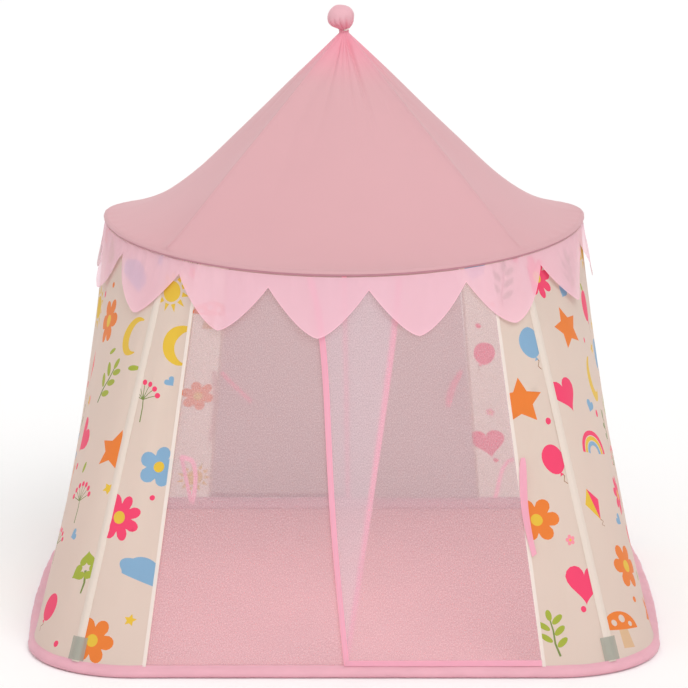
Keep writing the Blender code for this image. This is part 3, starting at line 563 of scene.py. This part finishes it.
def hoop_point(angle, radius, turn):
    """Point at a radius from the middle of the hoop. turn is 0 outside and 90 degrees on top."""
    return eave_point(angle, EAVE_RADIUS + radius * cos(turn), radius * sin(turn))


def roof_edge(angle, share):
    """The roof cloth's last turn over the hoop, from its outer side (0) to its top (1)."""
    turn = mix(radians(2), radians(88), share)
    return hoop_point(angle, EAVE_TURN_RADIUS + 0.0003 * eave_pucker(angle), turn)


def make_roof():
    for name, quarter in (("front", 0), ("right", 1), ("back", 2), ("left", -1)):

        def place(across, up):
            angle = quarter * pi / 2 + mix(-CORNER, CORNER, across)
            if up < ROOF_EDGE_SHARE - 1e-4:
                return roof_edge(angle, up / ROOF_EDGE_SHARE)
            return roof_look(angle, 1 - ((up - ROOF_EDGE_SHARE) / (1 - ROOF_EDGE_SHARE)) ** 1.15)

        gore = cloth("roof_gore_" + name, 72, 75, place, "roof", (0.8, 0.64))
        fitted(gore, "canopy_cloth", "canopy_" + name)
    for number in range(4):

        def strip(across, up):
            fall = mix(0.995, 0.02, up)
            side = 2 * across - 1
            angle = CORNER + number * pi / 2
            reach = SEAM_HALF_WIDTH / max(mix(PEAK_RADIUS, EAVE_RADIUS, fall), 0.02)
            swell = 0.0005 * (1 - side**2) + 0.0002 * wobble(fall * 60, number)
            return roof_look(angle + reach * side, fall) + Vector((0, 0, 0.0003 + swell))

        seam = cloth("roof_seam_%d" % (number + 1), 6, 120, strip, "roof", (0.007, 0.65))
        fitted(seam, "canopy_cloth")


def knob_valley(turn):
    return (1 - abs(sin(turn * 5.5 + 0.9 * sin(turn * 2 + 1.0)))) ** 2


def make_knob():
    """Stuffed ball, gathered hard under its waist, with the cloth's folds running into the neck."""

    def place(across, up):
        turn = tau * across
        swing = pi * (1 - up)
        valley = knob_valley(turn)
        gathered = 0.30 * smooth((swing - 1.25) / 1.3) * valley
        squeeze = 1 - gathered - 0.02 * wobble(cos(turn), sin(turn), swing * 2)
        radius = KNOB_RADIUS * max(0.0, sin(swing)) * squeeze
        height = KNOB_HALF_HEIGHT * cos(swing) + 0.0060 * sin(turn) * sin(swing) ** 2
        neck = smooth((swing - 2.50) / 0.5)
        radius = mix(radius, KNOB_NECK_RADIUS - NECK_VALLEY * valley, neck)
        height = mix(height, -KNOB_NECK_DROP, neck)
        lean = -KNOB_LEAN - 0.0032 * max(0.0, cos(swing))
        lean *= 1 - smooth((swing - 1.5) / 1.35)
        return KNOB_CENTRE + round_point(turn, radius, height) + Vector((lean, 0, 0))

    def neck_place(across, up):
        turn = tau * across
        radius = mix(*NECK_RADII, smooth(up * 1.4)) - NECK_VALLEY * knob_valley(turn)
        return round_point(turn, radius, mix(*NECK_HEIGHTS, up))

    ball = cloth("knob_ball", 144, 52, place, "knob", (0.18, 0.09), loop=True)
    fitted(ball, "knob_cloth", "top_knob")
    neck = cloth("knob_neck", 88, 12, neck_place, "knob", (0.06, 0.016), loop=True)
    fitted(neck, "knob_cloth")

    steps = 60
    path = []
    for step in range(steps + 1):
        turn = radians(-200 + 560 * step / steps)
        radius = NECK_RADII[1] + 0.0004 * sin(step * 0.7)
        path.append(round_point(turn, radius, CORD_HEIGHT + 0.0035 * step / steps))
    cord = tube("knob_cord", path, CORD_RADIUS, "knob")
    fitted(cord, "casing_tape", "knob_tie")
    ends = [path[-1] + Vector(by) for by in ((0, 0, 0), (0.005, -0.002, 0.0008), (0.010, -0.003, 0.0040))]
    tail = tube("knob_cord_end", ends, 0.0015, "trim")
    fitted(tail, "casing_tape")


def make_piping():
    """Sewn sleeve round the eave hoop."""
    sections = 12

    def place(angle, section):
        turn = tau * section / sections
        return hoop_point(angle, PIPING_RADIUS * (1 + 0.06 * wobble(angle * 14, turn)), turn)

    piping = ring("eave_piping", 288, sections, place, "hoop")
    fitted(piping, "casing_tape", "hoop_casing")


def scallop_depth(across):
    """The frill's depth, and the share of the way along its scallop."""
    phase = (across * SCALLOPS) % 1.0
    return mix(*SCALLOP_DEPTHS, 1 - abs(2 * phase - 1) ** 1.45), phase


def valance_point(across, low, lift=0.0):
    """Point of the frill, from its seam (low is 0) to its scalloped edge (1)."""
    angle = VALANCE_START + tau * across
    depth, phase = scallop_depth(across)
    height = wall_line(angle, 0.0).z - 0.0004 - depth * low
    scallop = int(across * SCALLOPS + 1e-6) % SCALLOPS
    curl = 0.0026 * low**2 * arch(phase) + 0.0024 * sin(tau * phase * 1.5 + scallop * 1.9) * low
    gather = 0.0010 * sin(angle * 90 + 3 * wobble(angle * 3, 1.0)) * (1 - low)
    crumple = 0.0020 * wobble(angle * 9, low * 2, scallop * 0.6) * low
    out = 0.0050 + 0.0014 * low + curl + gather + crumple
    return wall_point(angle, fall_at(angle, height), max(out, 0.0044) + lift)


def make_valance():
    """Sheer frill with a narrow doubled hem along its scallops."""

    def place(across, up):
        return valance_point(across, (1 - up) * 0.985)

    def hem_place(across, up):
        return valance_point(across, 1 - VALANCE_HEM / scallop_depth(across)[0] * up, 0.0003)

    columns = SCALLOPS * SCALLOP_COLUMNS
    frill = cloth("valance_frill", columns, 16, place, "sheer", (3.3, 0.12), loop=True)
    fitted(frill, "sheer_cloth", "valance")
    hem = cloth("valance_hem", columns, 2, hem_place, "sheer_hem", (4.4, 0.005), loop=True)
    fitted(hem, "sheer_cloth")


# Print: each motif is a list of (colour, outline) in its own units, about 1 from the middle


def blob(count, shape):
    return [shape(tau * k / count) for k in range(count)]


def disc(x, y, radius, count=16):
    return blob(count, lambda t: (x + radius * cos(t), y + radius * sin(t)))


def oval(x, y, long, short, tilt, count=16):
    c, s = cos(tilt), sin(tilt)

    def shape(t):
        a, b = long * cos(t), short * sin(t)
        return x + a * c - b * s, y + a * s + b * c

    return blob(count, shape)


def stroke(points, width):
    """Thin strip along points, tapered to its end."""
    left, right = [], []
    for k, (x, y) in enumerate(points):
        ax, ay = points[max(k - 1, 0)]
        bx, by = points[min(k + 1, len(points) - 1)]
        size = hypot(bx - ax, by - ay)
        half = width / 2 * (1 - 0.5 * k / len(points))
        nx, ny = -(by - ay) / size * half, (bx - ax) / size * half
        left.append((x + nx, y + ny))
        right.append((x - nx, y - ny))
    return left + right[::-1]


def heart(x=0.0, y=0.0, size=1.0, tilt=0.0):
    c, s = cos(tilt), sin(tilt)

    def shape(t):
        a = 16 * sin(t) ** 3 / 17
        b = (13 * cos(t) - 5 * cos(2 * t) - 2 * cos(3 * t) - cos(4 * t)) / 17
        return x + size * (a * c - b * s), y + size * (a * s + b * c)

    return blob(28, shape)


def star():
    def point(k):
        radius, turn = (0.5 if k % 2 else 1.0), tau * k / 10
        return radius * sin(turn), radius * cos(turn)

    return [point(k) for k in range(10)]


def petals(count, depth):
    def shape(t):
        radius = 1 - depth + depth * abs(cos(count * t / 2)) ** 0.7
        return radius * cos(t), radius * sin(t)

    return blob(count * 8, shape)


def flower(main, count):
    return [(main, petals(count, 0.42)), ("sun", disc(0, 0, 0.27))]


def sunburst():
    shapes = []
    for k in range(11):
        spots = [(r, tau * k / 11 + turn) for r, turn in ((0.62, -0.2), (1.0, 0.0), (0.62, 0.2))]
        shapes.append(("sun", [(r * cos(t), r * sin(t)) for r, t in spots]))
    return shapes + [("sun", disc(0, 0, 0.50, 24))]


def cloud():
    def shape(t):
        radius = 0.86 + 0.15 * abs(sin(2.5 * t + 0.4))
        return radius * 1.1 * cos(t), max(0.62 * radius * sin(t), -0.34)

    return [("sky", blob(48, shape))]


def rainbow():
    arc = [pi * k / 16 for k in range(17)]
    bands = []
    for colour, outer, inner in (("rose", 1.0, 0.80), ("sun", 0.76, 0.58), ("sky", 0.54, 0.36)):
        shape = [(outer * cos(t), outer * sin(t) - 0.4) for t in arc]
        shape += [(inner * cos(t), inner * sin(t) - 0.4) for t in reversed(arc)]
        bands.append((colour, shape))
    return bands


def moon():
    outer = [radians(60 + 240 * k / 22) for k in range(23)]
    inner = [radians(285 - 210 * k / 18) for k in range(1, 18)]
    shape = [(cos(t), sin(t)) for t in outer]
    return [("sun", shape + [(0.42 + 0.80 * cos(t), 0.80 * sin(t)) for t in inner])]


def balloon(main):
    return [
        ("bark", stroke([(0.0, -0.42), (0.10, -0.62), (-0.06, -0.80), (0.06, -1.0)], 0.05)),
        (main, oval(0, 0.28, 0.70, 0.56, pi / 2, 24)),
        (main, [(0, -0.38), (0.12, -0.54), (-0.12, -0.54)]),
    ]


def sprig(main, stem="moss"):
    shapes = [(stem, stroke([(0.1, -1.0), (0.0, -0.4), (0.05, 0.2), (0.0, 0.9)], 0.10))]
    for y, side in ((-0.55, 1), (-0.30, -1), (0.0, 1), (0.25, -1), (0.52, 1)):
        shapes.append((main, oval(side * 0.34, y + 0.18, 0.32, 0.14, pi / 2 - side * 0.9)))
    shapes.append((main, oval(0.0, 0.92, 0.26, 0.14, pi / 2)))
    return shapes


def clover():
    shapes = [("moss", stroke([(0.02, 0.1), (0.10, -0.5), (0.02, -1.0)], 0.12))]
    for t in (0.0, tau / 3, 2 * tau / 3):
        leaf = heart(0.42 * sin(t), 0.42 * cos(t) + 0.2, 0.42, pi - t)
        shapes.append(("leaf", leaf))
    return shapes


def mushroom():
    arc = [pi * k / 18 for k in range(19)]
    return [
        ("tan", [(-0.26, 0.06), (0.26, 0.06), (0.34, -0.80), (-0.34, -0.80)]),
        ("tangerine", [(cos(t), 0.05 + 0.85 * sin(t)) for t in arc]),
        ("wall", disc(-0.40, 0.38, 0.15)),
        ("wall", disc(0.12, 0.55, 0.18)),
        ("wall", disc(0.55, 0.28, 0.12)),
    ]


def berries():
    shapes = [("moss", stroke([(0.0, -1.0), (0.05, -0.3), (0.0, 0.3)], 0.07))]
    for k in range(7):
        t = radians(20 + 140 * k / 6)
        x, y = 0.85 * cos(t), 0.85 * sin(t)
        shapes.append(("moss", stroke([(0.0, 0.05), (x * 0.5, y * 0.6), (x, y)], 0.045)))
        shapes.append(("rose", disc(x, y, 0.13, 12)))
    return shapes


def kite():
    return [
        ("bark", stroke([(0.0, -0.60), (0.16, -0.75), (-0.05, -0.88), (0.12, -1.0)], 0.05)),
        ("sun", [(0, 1.0), (-0.55, 0.3), (0, -0.62)]),
        ("rose", [(0, 1.0), (0, -0.62), (0.55, 0.3)]),
    ]


BIG_MOTIFS = [
    flower("rose", 8), sunburst(), sprig("leaf"), cloud(), mushroom(), [("rose", heart())], rainbow(),
    berries(), balloon("sky"), flower("sky", 5), [("tangerine", star())], clover(), kite(), moon(),
    flower("tangerine", 6), sprig("moss", "bark"), balloon("rose"),
]
SMALL_MOTIFS = [
    [("rose", disc(0, 0, 0.5))],
    [("sky", heart())],
    [("sun", star())],
    [("leaf", oval(0, 0, 1.0, 0.42, 1.1))],
    [("blush", petals(5, 0.4)), ("sun", disc(0, 0, 0.25))],
    [("tangerine", disc(0, 0, 0.55))],
]


def width_of(start, end):
    """Width of the wall between two angles, at a depth in metres down the cloth."""
    length = (wall_line((start + end) / 2, 1.0) - wall_line((start + end) / 2, 0.0)).length
    steps = 16
    parts = 4
    table = []
    for part in range(parts + 1):
        spots = [wall_line(mix(start, end, k / steps), part / parts) for k in range(steps + 1)]
        table.append(sum((b - a).length for a, b in zip(spots, spots[1:])))

    def width_at(depth):
        spot = min(max(depth / length, 0.0), 1.0) * parts
        low = min(int(spot), parts - 1)
        return mix(table[low], table[low + 1], spot - low)

    return width_at, length


def laid_out(width_at, length, draw):
    """Motifs in staggered rows, big ones with small ones between them."""
    placed, order = [], []
    rows = int(length / ROW_PITCH) + 1

    def put(motif, x, y, sizes, sway):
        placed.append((motif, x, y, draw.uniform(*sizes), draw.uniform(-sway, sway)))

    for row in range(rows):
        depth = (row + 0.5) * length / rows
        width = width_at(depth)
        count = max(1, round(width / MOTIF_PITCH))
        shift = (0.25 if row % 2 else -0.25) * width / count
        for column in range(count):
            if not order:
                order = list(range(len(BIG_MOTIFS)))
                draw.shuffle(order)
            x = (column + 0.5 - count / 2) * width / count + shift + draw.uniform(-0.012, 0.012)
            y = depth + draw.uniform(-0.014, 0.014)
            put(BIG_MOTIFS[order.pop()], x, y, BIG_SIZES, 0.4)
            x += width / count / 2
            y += length / rows / 2 * draw.choice((-1, 1)) * 0.8
            put(draw.choice(SMALL_MOTIFS), x, y, SMALL_SIZES, 1)
    return placed


def turned_left(loop, points):
    """The loop, reversed if it runs clockwise."""
    corners = [points[k] for k in loop]
    area = sum(a[0] * b[1] - b[0] * a[1] for a, b in zip(corners, corners[1:] + corners[:1]))
    return loop if area > 0 else loop[::-1]


def printed(name, start, end, look, seed, pitch):
    """Wall cloth between two angles, with its print as faces of their own. look(angle, fall) shapes it."""
    width_at, length = width_of(start, end)
    rows = max(4, round(length / pitch))
    depths = [length * row / rows for row in range(rows + 1)]

    def line(depth, way=1):
        """Points between the cloth's sides, from left to right, or back where way is -1."""
        half = width_at(depth) / 2 * way
        count = max(2, round(width_at(depth) / pitch))
        return [(mix(-half, half, k / count), depth) for k in range(1, count)]

    left = [(-width_at(depth) / 2, depth) for depth in depths]
    right = [(width_at(depth) / 2, depth) for depth in reversed(depths)]
    points = left + line(length) + right + line(0.0, -1)
    loops = [list(range(len(points)))]
    keys = [0]
    for depth in depths[1:-1]:
        points += line(depth)
    for motif, x, y, size, tilt in laid_out(width_at, length, random.Random(seed)):
        c, s = cos(tilt) * size, sin(tilt) * size
        for colour, shape in motif:
            loops.append(list(range(len(points), len(points) + len(shape))))
            points += [(x + a * c - b * s, y - (a * s + b * c)) for a, b in shape]
            keys.append(PRINT_KEYS.index(colour))
    loops = [turned_left(loop, points) for loop in loops]
    verts, _, faces, _, _, origins = delaunay_2d_cdt([Vector(p) for p in points], [], loops, 1, 1e-7)
    kept = [(face, keys[max(origin)]) for face, origin in zip(faces, origins) if 0 in origin]
    used = sorted({v for face, ink in kept for v in face})
    index = {v: k for k, v in enumerate(used)}
    spots = []
    for x, depth in (verts[v] for v in used):
        spots.append(look(mix(start, end, 0.5 + x / width_at(depth)), depth / length))
    thing = meshed(name, spots, [tuple(index[v] for v in face) for face, ink in kept], *PRINT_KEYS)
    thing.data.polygons.foreach_set("material_index", [ink for face, ink in kept])
    return thing


# Walls


def side_look(angle, fall, side):
    """Side wall, drawn in between the corners, with soft folds that fan down from the elbows."""
    share = (side * angle - CORNER) / (2 * CORNER)
    sag = SIDE_SAG * arch(share) * arch(fall)
    near = min(share, 1 - share)
    fan = 0.0045 * sin(near * 46 * (1.15 - 0.35 * fall)) * exp(-near / 0.16)
    fan *= max(0.0, arch(fall)) ** 0.6
    drape = 0.0042 * wobble(share * 7 + side, fall * 2.0) + 0.0018 * wobble(share * 16, fall * 5, side)
    drape *= smooth(fall / 0.05) * smooth((1 - fall) / 0.04)
    return wall_point(angle, fall, WALL_LIFT - sag + (fan + drape) * smooth(near / 0.02))


def panel_look(angle, fall, start, end):
    """Panel beside a doorway, with a fold that runs down along the doorway's edge."""
    share = (angle - start) / (end - start)
    off = share if start > 0 else 1 - share
    valley = -0.0046 * hump((off - 0.24 - 0.08 * fall) / 0.12)
    ridge = 0.0034 * hump((off - 0.62 + 0.14 * fall) / 0.16)
    folds = (valley + ridge) * max(0.0, arch(fall)) ** 0.5
    loose = 0.0018 * wobble(share * 3, fall * 5, start) + 0.0008 * wobble(share * 7, fall * 12, start)
    loose *= smooth(fall / 0.05) * smooth((1 - fall) / 0.04)
    inside = smooth(share / 0.08) * smooth((1 - share) / 0.08)
    return wall_point(angle, fall, WALL_LIFT + (folds + loose) * inside)


def make_sides():
    for seed, name, side in ((31, "right", 1), (32, "left", -1)):
        start, end = sorted((side * CORNER, side * 3 * CORNER))

        def look(angle, fall):
            return side_look(angle, fall, side)

        wall = printed("side_cloth_" + name, start, end, look, seed, SIDE_MESH_PITCH)
        fitted(wall, "wall_cloth", name + "_wall")


def make_panel(door, name, side, seed):
    """Corner panel beside a doorway, with the sleeve at the corner and the tape at the doorway."""
    turn = TURNS[door]
    half = DOOR_HALVES[door]
    wide, area = PANEL_SIZES[door]
    label = door + "_" + name
    start, end = sorted((side * half, side * CORNER))

    def look(angle, fall):
        return turn @ panel_look(angle, fall, start, end)

    def along(angle, fall, lift, shift):
        """Point of a strip that runs down the wall at an angle, some metres to its right."""
        return turn @ (wall_point(angle, fall, lift) + wall_axes(angle, fall)[0] * shift)

    def seam(across, up):
        swell = 0.0012 + 0.0032 * arch(across) + 0.0004 * wobble((1 - up) * 50, side)
        return along(side * CORNER, 1 - up, swell, SLEEVE_HALF_WIDTH * (2 * across - 1))

    def edge(across, up):
        lift = 0.0016 + 0.0004 * wobble((1 - up) * 40, side)
        shift = mix(*DOOR_TAPE_EDGES, across if side > 0 else 1 - across)
        return along(side * half, 1 - up, lift, side * shift)

    panel = printed("corner_cloth_" + label, start, end, look, seed, PANEL_MESH_PITCH)
    fitted(panel, "wall_cloth", label + "_panel")
    strip = cloth("corner_seam_" + label, 10, 100, seam, "sleeve", (0.020, 0.83))
    fitted(strip, "wall_cloth")
    tape = cloth("door_edge_" + label, 3, 100, edge, "trim", (0.009, 0.8))
    fitted(tape, "wall_cloth")


# Doorways


def net_look(share, height, lift, door, layer):
    """Door net, which hangs a little slack between its sewn edge and its bound one."""
    angle = share * DOOR_HALVES[door]
    out = wall_axes(angle, fall_at(angle, height))[1]
    loose = smooth((0.78 - height) / 0.2) * cos(share * pi / 2)
    ripple = 0.0006 * wobble(share * 6, height * 3, 3.0 if layer == "outer" else 9.0) * loose
    return door_point(door, share, height, 0.0) + out * (lift + ripple)


def make_leaf(door, layer):
    turn = TURNS[door]
    side, own_lift = (1, OUTER_LIFT) if layer == "outer" else (-1, INNER_LIFT)
    label = door + "_" + layer
    body = label + "_leaf_body"
    top = wall_line(0.0, 0.0).z

    def low(share):
        """Foot of the net. An inner net ends above its soft hem."""
        return LEAF_FOOT + (HEM_END + HEM_RISE * share if layer == "inner" else 0.0)

    def inside(height, width):
        """Share across the door at some metres inside the bound edge."""
        return free_edge(door, layer, height) + side * width / door_half_width(door, height)

    def spread(first, last, across):
        return mix(min(first, last), max(first, last), across)

    def hung(share, height, lift=0.0):
        return turn @ net_look(share, height, own_lift + lift, door, layer)

    def net(across, up):
        height = mix(low(across if side < 0 else 1 - across), top + 0.012, up)
        share = spread(side, inside(height, BINDING_WIDTH - NET_TUCK), across)
        return hung(share, min(height, wall_line(share * DOOR_HALVES[door], 0.0).z - 0.0006))

    def binding(across, up):
        height = mix(low(1.0), top - 0.001, up)
        share = spread(inside(height, 0.0), inside(height, BINDING_WIDTH), across)
        return hung(share, height, side * 0.0008 * (1 - (2 * across - 1) ** 2) + 0.0002)

    def hem(across, up):
        share = spread(side, inside(LEAF_FOOT, 0.0), across)
        return hung(share, mix(LEAF_FOOT, LEAF_FOOT + OUTER_HEM_WIDTH, up), 0.0006)

    def skirt(across, up):
        height = mix(LEAF_FOOT, low(across), up)
        return hung(spread(side, inside(height, BINDING_WIDTH - NET_TUCK), across), height)

    def skirt_edge(across, up):
        height = mix(LEAF_FOOT, low(1.0), up)
        return hung(mix(inside(height, 0.0), inside(height, BINDING_WIDTH), across), height, -0.0002)

    def bend(piece):
        """Bakes a piece's place into its mesh. The ends of a bend between its sewn top and the leaf's body
        are worked out, but no bend is made.
        """
        start, end = (turn @ Vector((side * 0.3, -0.5, height)) for height in (BEND_TOP, BEND_FOOT))
        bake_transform(piece)
        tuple(start)
        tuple(end)

    sheet = cloth("door_net_" + label, 60, 72, net, "net_" + door, (0.60, 0.77))
    tape_key = "tape" if layer == "outer" else "tape_inside"
    tape = cloth("door_tape_" + label, 6, 120, binding, tape_key, (0.013, 0.77))
    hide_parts(label + "_header", label + "_leaf")
    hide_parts(label + "_binding")
    bend(sheet)
    bend(tape)
    wide, area, hem_length = NET_SIZES[door]

    if layer == "outer":
        strip = cloth("door_hem_" + label, 50, 3, hem, "tape", (0.60, OUTER_HEM_WIDTH))
        bend(strip)
        return

    flap = cloth("door_skirt_" + label, 60, 6, skirt, "net_" + door, (0.4, 0.05))
    fitted(flap, "door_mesh", label + "_hem", body=body)
    flap_tape = cloth("door_skirt_tape_" + label, 4, 6, skirt_edge, tape_key, (0.013, 0.065))
    fitted(flap_tape, "binding_tape", body=body)
    flap_wide, flap_area = HEM_SIZES[door]
    hinge = -door_half_width(door, LEAF_FOOT) + 0.0015
    for piece in (flap, flap_tape):
        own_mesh(piece)


def make_outer_tie(door):
    """Ribbon sewn beside the door, a little twisted, that narrows to its end."""
    head = OUTER_TIE_HEAD - TIE_DROPS[door]
    edge = DOOR_HALVES[door]

    def place(across, up):
        drop = 1 - up
        fall = fall_at(edge, head - OUTER_TIE_LENGTH * drop + 0.006 * across * drop)
        beside, out = wall_axes(edge, fall)
        half = 0.0073 - 0.0022 * smooth((drop - 0.55) / 0.45) - 0.0034 * exp(-drop / 0.05)
        middle = 0.0165 - 0.0100 * sin(2.85 * drop)
        side = 2 * across - 1
        twist = 0.0030 * sin(drop * 6.2) * side
        swing = 0.0026 * sin(drop * 5) * drop
        lift = 0.0030 + max(0.0, twist + swing) + 0.0008 * side**2
        return TURNS[door] @ (wall_line(edge, fall) + beside * (middle + half * side) + out * lift)

    strap = cloth("tie_strap_" + door, 8, 60, place, "tape", (0.015, 0.20))
    fitted(strap, "binding_tape", door + "_outer_tie", body=door + "_outer_tie_body")


def ribbon(name, door, spots, half, wave, length):
    """Narrow tape along spots, turned partly to the front, that waves in and out."""
    fine = [a.lerp(b, k / 5) for a, b in zip(spots, spots[1:]) for k in range(5)] + [spots[-1]]

    def place(across, up):
        k = round(up * (len(fine) - 1))
        way = fine[min(k + 1, len(fine) - 1)] - fine[max(k - 1, 0)]
        beside = way.cross(Vector((0, 1, 0))).normalized() * 0.86 + Vector((0, 0.5, 0))
        out = Vector((0, wave * sin(up * 14), 0))
        return TURNS[door] @ (fine[k] + beside * half * (2 * across - 1) + out)

    return cloth(name, 4, len(fine) - 1, place, "tape_inside", (0.010, length))


def make_tail(door):
    """The outer ribbon's other end, which hangs inside the doorway."""
    top = door_point(door, 1.0, OUTER_TIE_HEAD - TIE_DROPS[door], INNER_LIFT - 0.004)
    spots = [top + Vector((x / 1000, -0.10 * y / 1000, y / 1000)) for x, y in TAIL_PATHS[door]]
    tail = ribbon("tie_tail_" + door, door, spots, 0.0050, 0.0, 0.10)
    fitted(tail, "binding_tape")


def make_inner_tie(door):
    """Narrow tape, sewn on double so that it hangs as a loop. The back one has fallen flat."""
    head = INNER_TIE_HEAD - TIE_DROPS[door]
    top = door_point(door, -1 + 0.010 / door_half_width(door, head), head, INNER_LIFT - 0.0058)
    wide, tall = INNER_TIE_SIZE
    spots = []
    for k, (x, y) in enumerate(LOOP_PATHS[door]):
        spots.append(top + Vector((x / 100 * wide, -0.001 * k / 12, y / 100 * tall)))
    loop = ribbon("tie_loop_" + door, door, spots, 0.0047, 0.0008, 0.24)
    fitted(loop, "binding_tape", door + "_inner_tie", body=door + "_inner_tie_body")


# Base


def make_base_edge():
    """Padded edge with the puckers that its curved seam draws into it, and the walls' seam on its top."""

    def place(angle, k):
        inset, share, height = BASE_SECTION[k]
        ease = 0.4 if k in BASE_SEAM else 1.0
        along = angle * 0.66 / BASE_PUCKER_PITCH
        pucker = 0.0009 * sin(along + 2.5 * wobble(angle * 9, 0.4))
        pucker *= ease if k in BASE_PUCKERED else 0
        swell = 0.0020 * wobble(angle * 7, k * 0.25, 5.0) * ease
        inset += abs(pucker) * 0.5 - max(swell, -0.001) * 0.5
        x, y = outline(angle, inset, share * BASE_SIDE_BULGE)
        return Vector((x, y, max(0.0, height + (pucker + swell) * smooth(height / 0.012))))

    roll = ring("base_roll", 560, len(BASE_SECTION), place, "edge")
    fitted(roll, "edge_cloth", "base_casing")


def make_floor():
    def place(across, up):
        x, y = 2 * across - 1, 2 * up - 1
        reach = max(abs(x), abs(y))
        spot = Vector((*outline(atan2(x, -y), FLOOR_INSET, 0.25 * BASE_SIDE_BULGE), 0.0)) * reach
        fold = 0.0040 * wobble(spot.x * 5, spot.y * 5, 2.0) + 0.0018 * wobble(spot.x * 15, spot.y * 10, 7.0)
        spot.z = 0.0012 + max(0.0, 0.0022 + fold) * smooth((1 - reach) / 0.06)
        return spot

    sheet = cloth("floor_cloth", 96, 96, place, "floor", (1.24, 1.25))
    fitted(sheet, "floor_cloth", "floor_sheet")


def make_patches():
    corners = {"front_right": 1, "back_right": 3, "back_left": 5, "front_left": -1}
    for name, number in corners.items():
        corner = number * CORNER
        wall = wall_line(corner + PROBE, 1.0) - wall_line(corner - PROBE, 1.0)
        reach = PATCH_HALF_WIDTH * 2 * PROBE / wall.length

        def place(across, up):
            side = 2 * across - 1
            angle = corner + side * reach
            lift = 0.0022 + 0.0036 * hump(side / 0.5) + 0.0005 * wobble(across * 4, up * 4, corner)
            return wall_point(angle, fall_at(angle, mix(*PATCH_HEIGHTS, up)), lift)

        patch = cloth("film_patch_" + name, 12, 12, place, "film", (0.037, 0.045))
        fitted(patch, "patch_film", "corner_patch_" + name)


def dress_frame():
    """Materials for the CAD pieces that stay: the fittings, rods and ferrules."""
    for name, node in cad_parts.items():
        if node.hide_render:
            continue
        key = "rod"
        if name.startswith(("crown_hub", "eave_elbow")):
            key = "plastic"
        elif name.startswith("foot_tip"):
            key = "rubber"
        elif name.endswith("_ferrule"):
            key = "steel"
        node.data.materials.clear()
        node.data.materials.append(MATERIALS[key])


# Floor, light and camera

WHITE = (1.0, 1.0, 1.0, 1.0)


def make_studio_floor():
    """Pale floor that the camera sees as white."""
    grey = (0.93, 0.93, 0.93)
    size = 60.0
    mesh = bpy.data.meshes.new("studio_floor")
    corners = [(-size, -size, 0), (size, -size, 0), (size, size, 0), (-size, size, 0)]
    mesh.from_pydata(corners, [], [(0, 1, 2, 3)])
    floor = linked("studio_floor", mesh)
    floor.location.z = -0.0005
    material, tree = new_material("studio_floor")
    shades = {"Factor": add(tree, "LightPath", "Is Camera Ray"), "A": (*grey, 1.0), "B": WHITE}
    paler = add(tree, "Mix", "Result", shades, data_type="RGBA")
    show(tree, principled(tree, grey, paler, {"Roughness": 1.0, "Specular IOR Level": 0.0}))
    mesh.materials.append(material)
    floor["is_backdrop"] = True


def make_world():
    world = bpy.data.worlds.new("studio")
    bpy.context.scene.world = world
    world.use_nodes = True
    tree = world.node_tree
    tree.nodes.clear()
    plain = add(tree, "Background", 0, {"Color": WHITE})
    light = add(tree, "Background", 0, {"Color": (1.0, 0.99, 0.98, 1.0), "Strength": 0.62})
    path = tree.nodes.new("ShaderNodeLightPath").outputs
    straight = path["Is Camera Ray"]
    for key in ("Is Glossy Ray", "Is Transmission Ray"):
        straight = add(tree, "Math", 0, {0: straight, 1: path[key]}, operation="MAXIMUM")
    show(tree, blended(tree, straight, light, plain), "ShaderNodeOutputWorld")


def make_lights():
    for name, strength, spread, turn in (
        ("key_light", 1.15, 40, (44, 0, 27)),
        ("fill_light", 0.36, 70, (54, 0, -30)),
        ("back_light", 0.35, 80, (-50, 0, 10)),
    ):
        lamp = bpy.data.lights.new(name, "SUN")
        lamp.energy = strength
        lamp.angle = radians(spread)
        linked(name, lamp).rotation_euler = [radians(v) for v in turn]

    lamp = bpy.data.lights.new("inside_light", "AREA")
    lamp.shape = "RECTANGLE"
    lamp.size = 0.56
    lamp.size_y = 0.50
    lamp.energy = 1.5
    inside = linked("inside_light", lamp)
    inside.location = (0.0, 0.03, 0.74)
    inside.visible_camera = False


def make_camera():
    camera = bpy.data.cameras.new("camera")
    camera.lens = 146.5
    camera.sensor_width = 36.0
    camera.clip_end = 200.0
    thing = linked("camera", camera)
    thing.location = (0.0, -6.0, 1.8)
    thing.rotation_euler = (radians(78.18), 0.0, 0.0)
    bpy.context.scene.camera = thing
    bpy.context.scene.view_settings.view_transform = "Standard"


def main():
    make_roof()
    make_knob()
    make_piping()
    make_valance()
    make_sides()
    for door, seed in (("front", 11), ("back", 13)):
        make_panel(door, "right", 1, seed + 1)
        make_panel(door, "left", -1, seed - 1)
    for door in TURNS:
        make_leaf(door, "outer")
        make_leaf(door, "inner")
        make_outer_tie(door)
        make_tail(door)
        make_inner_tie(door)
    make_base_edge()
    make_floor()
    make_patches()
    dress_frame()
    make_studio_floor()
    make_world()
    make_lights()
    make_camera()


main()
boxes = {"cad": CAD_BOX, "visual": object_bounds()}
{name: [list(corner) for corner in box] for name, box in boxes.items()}
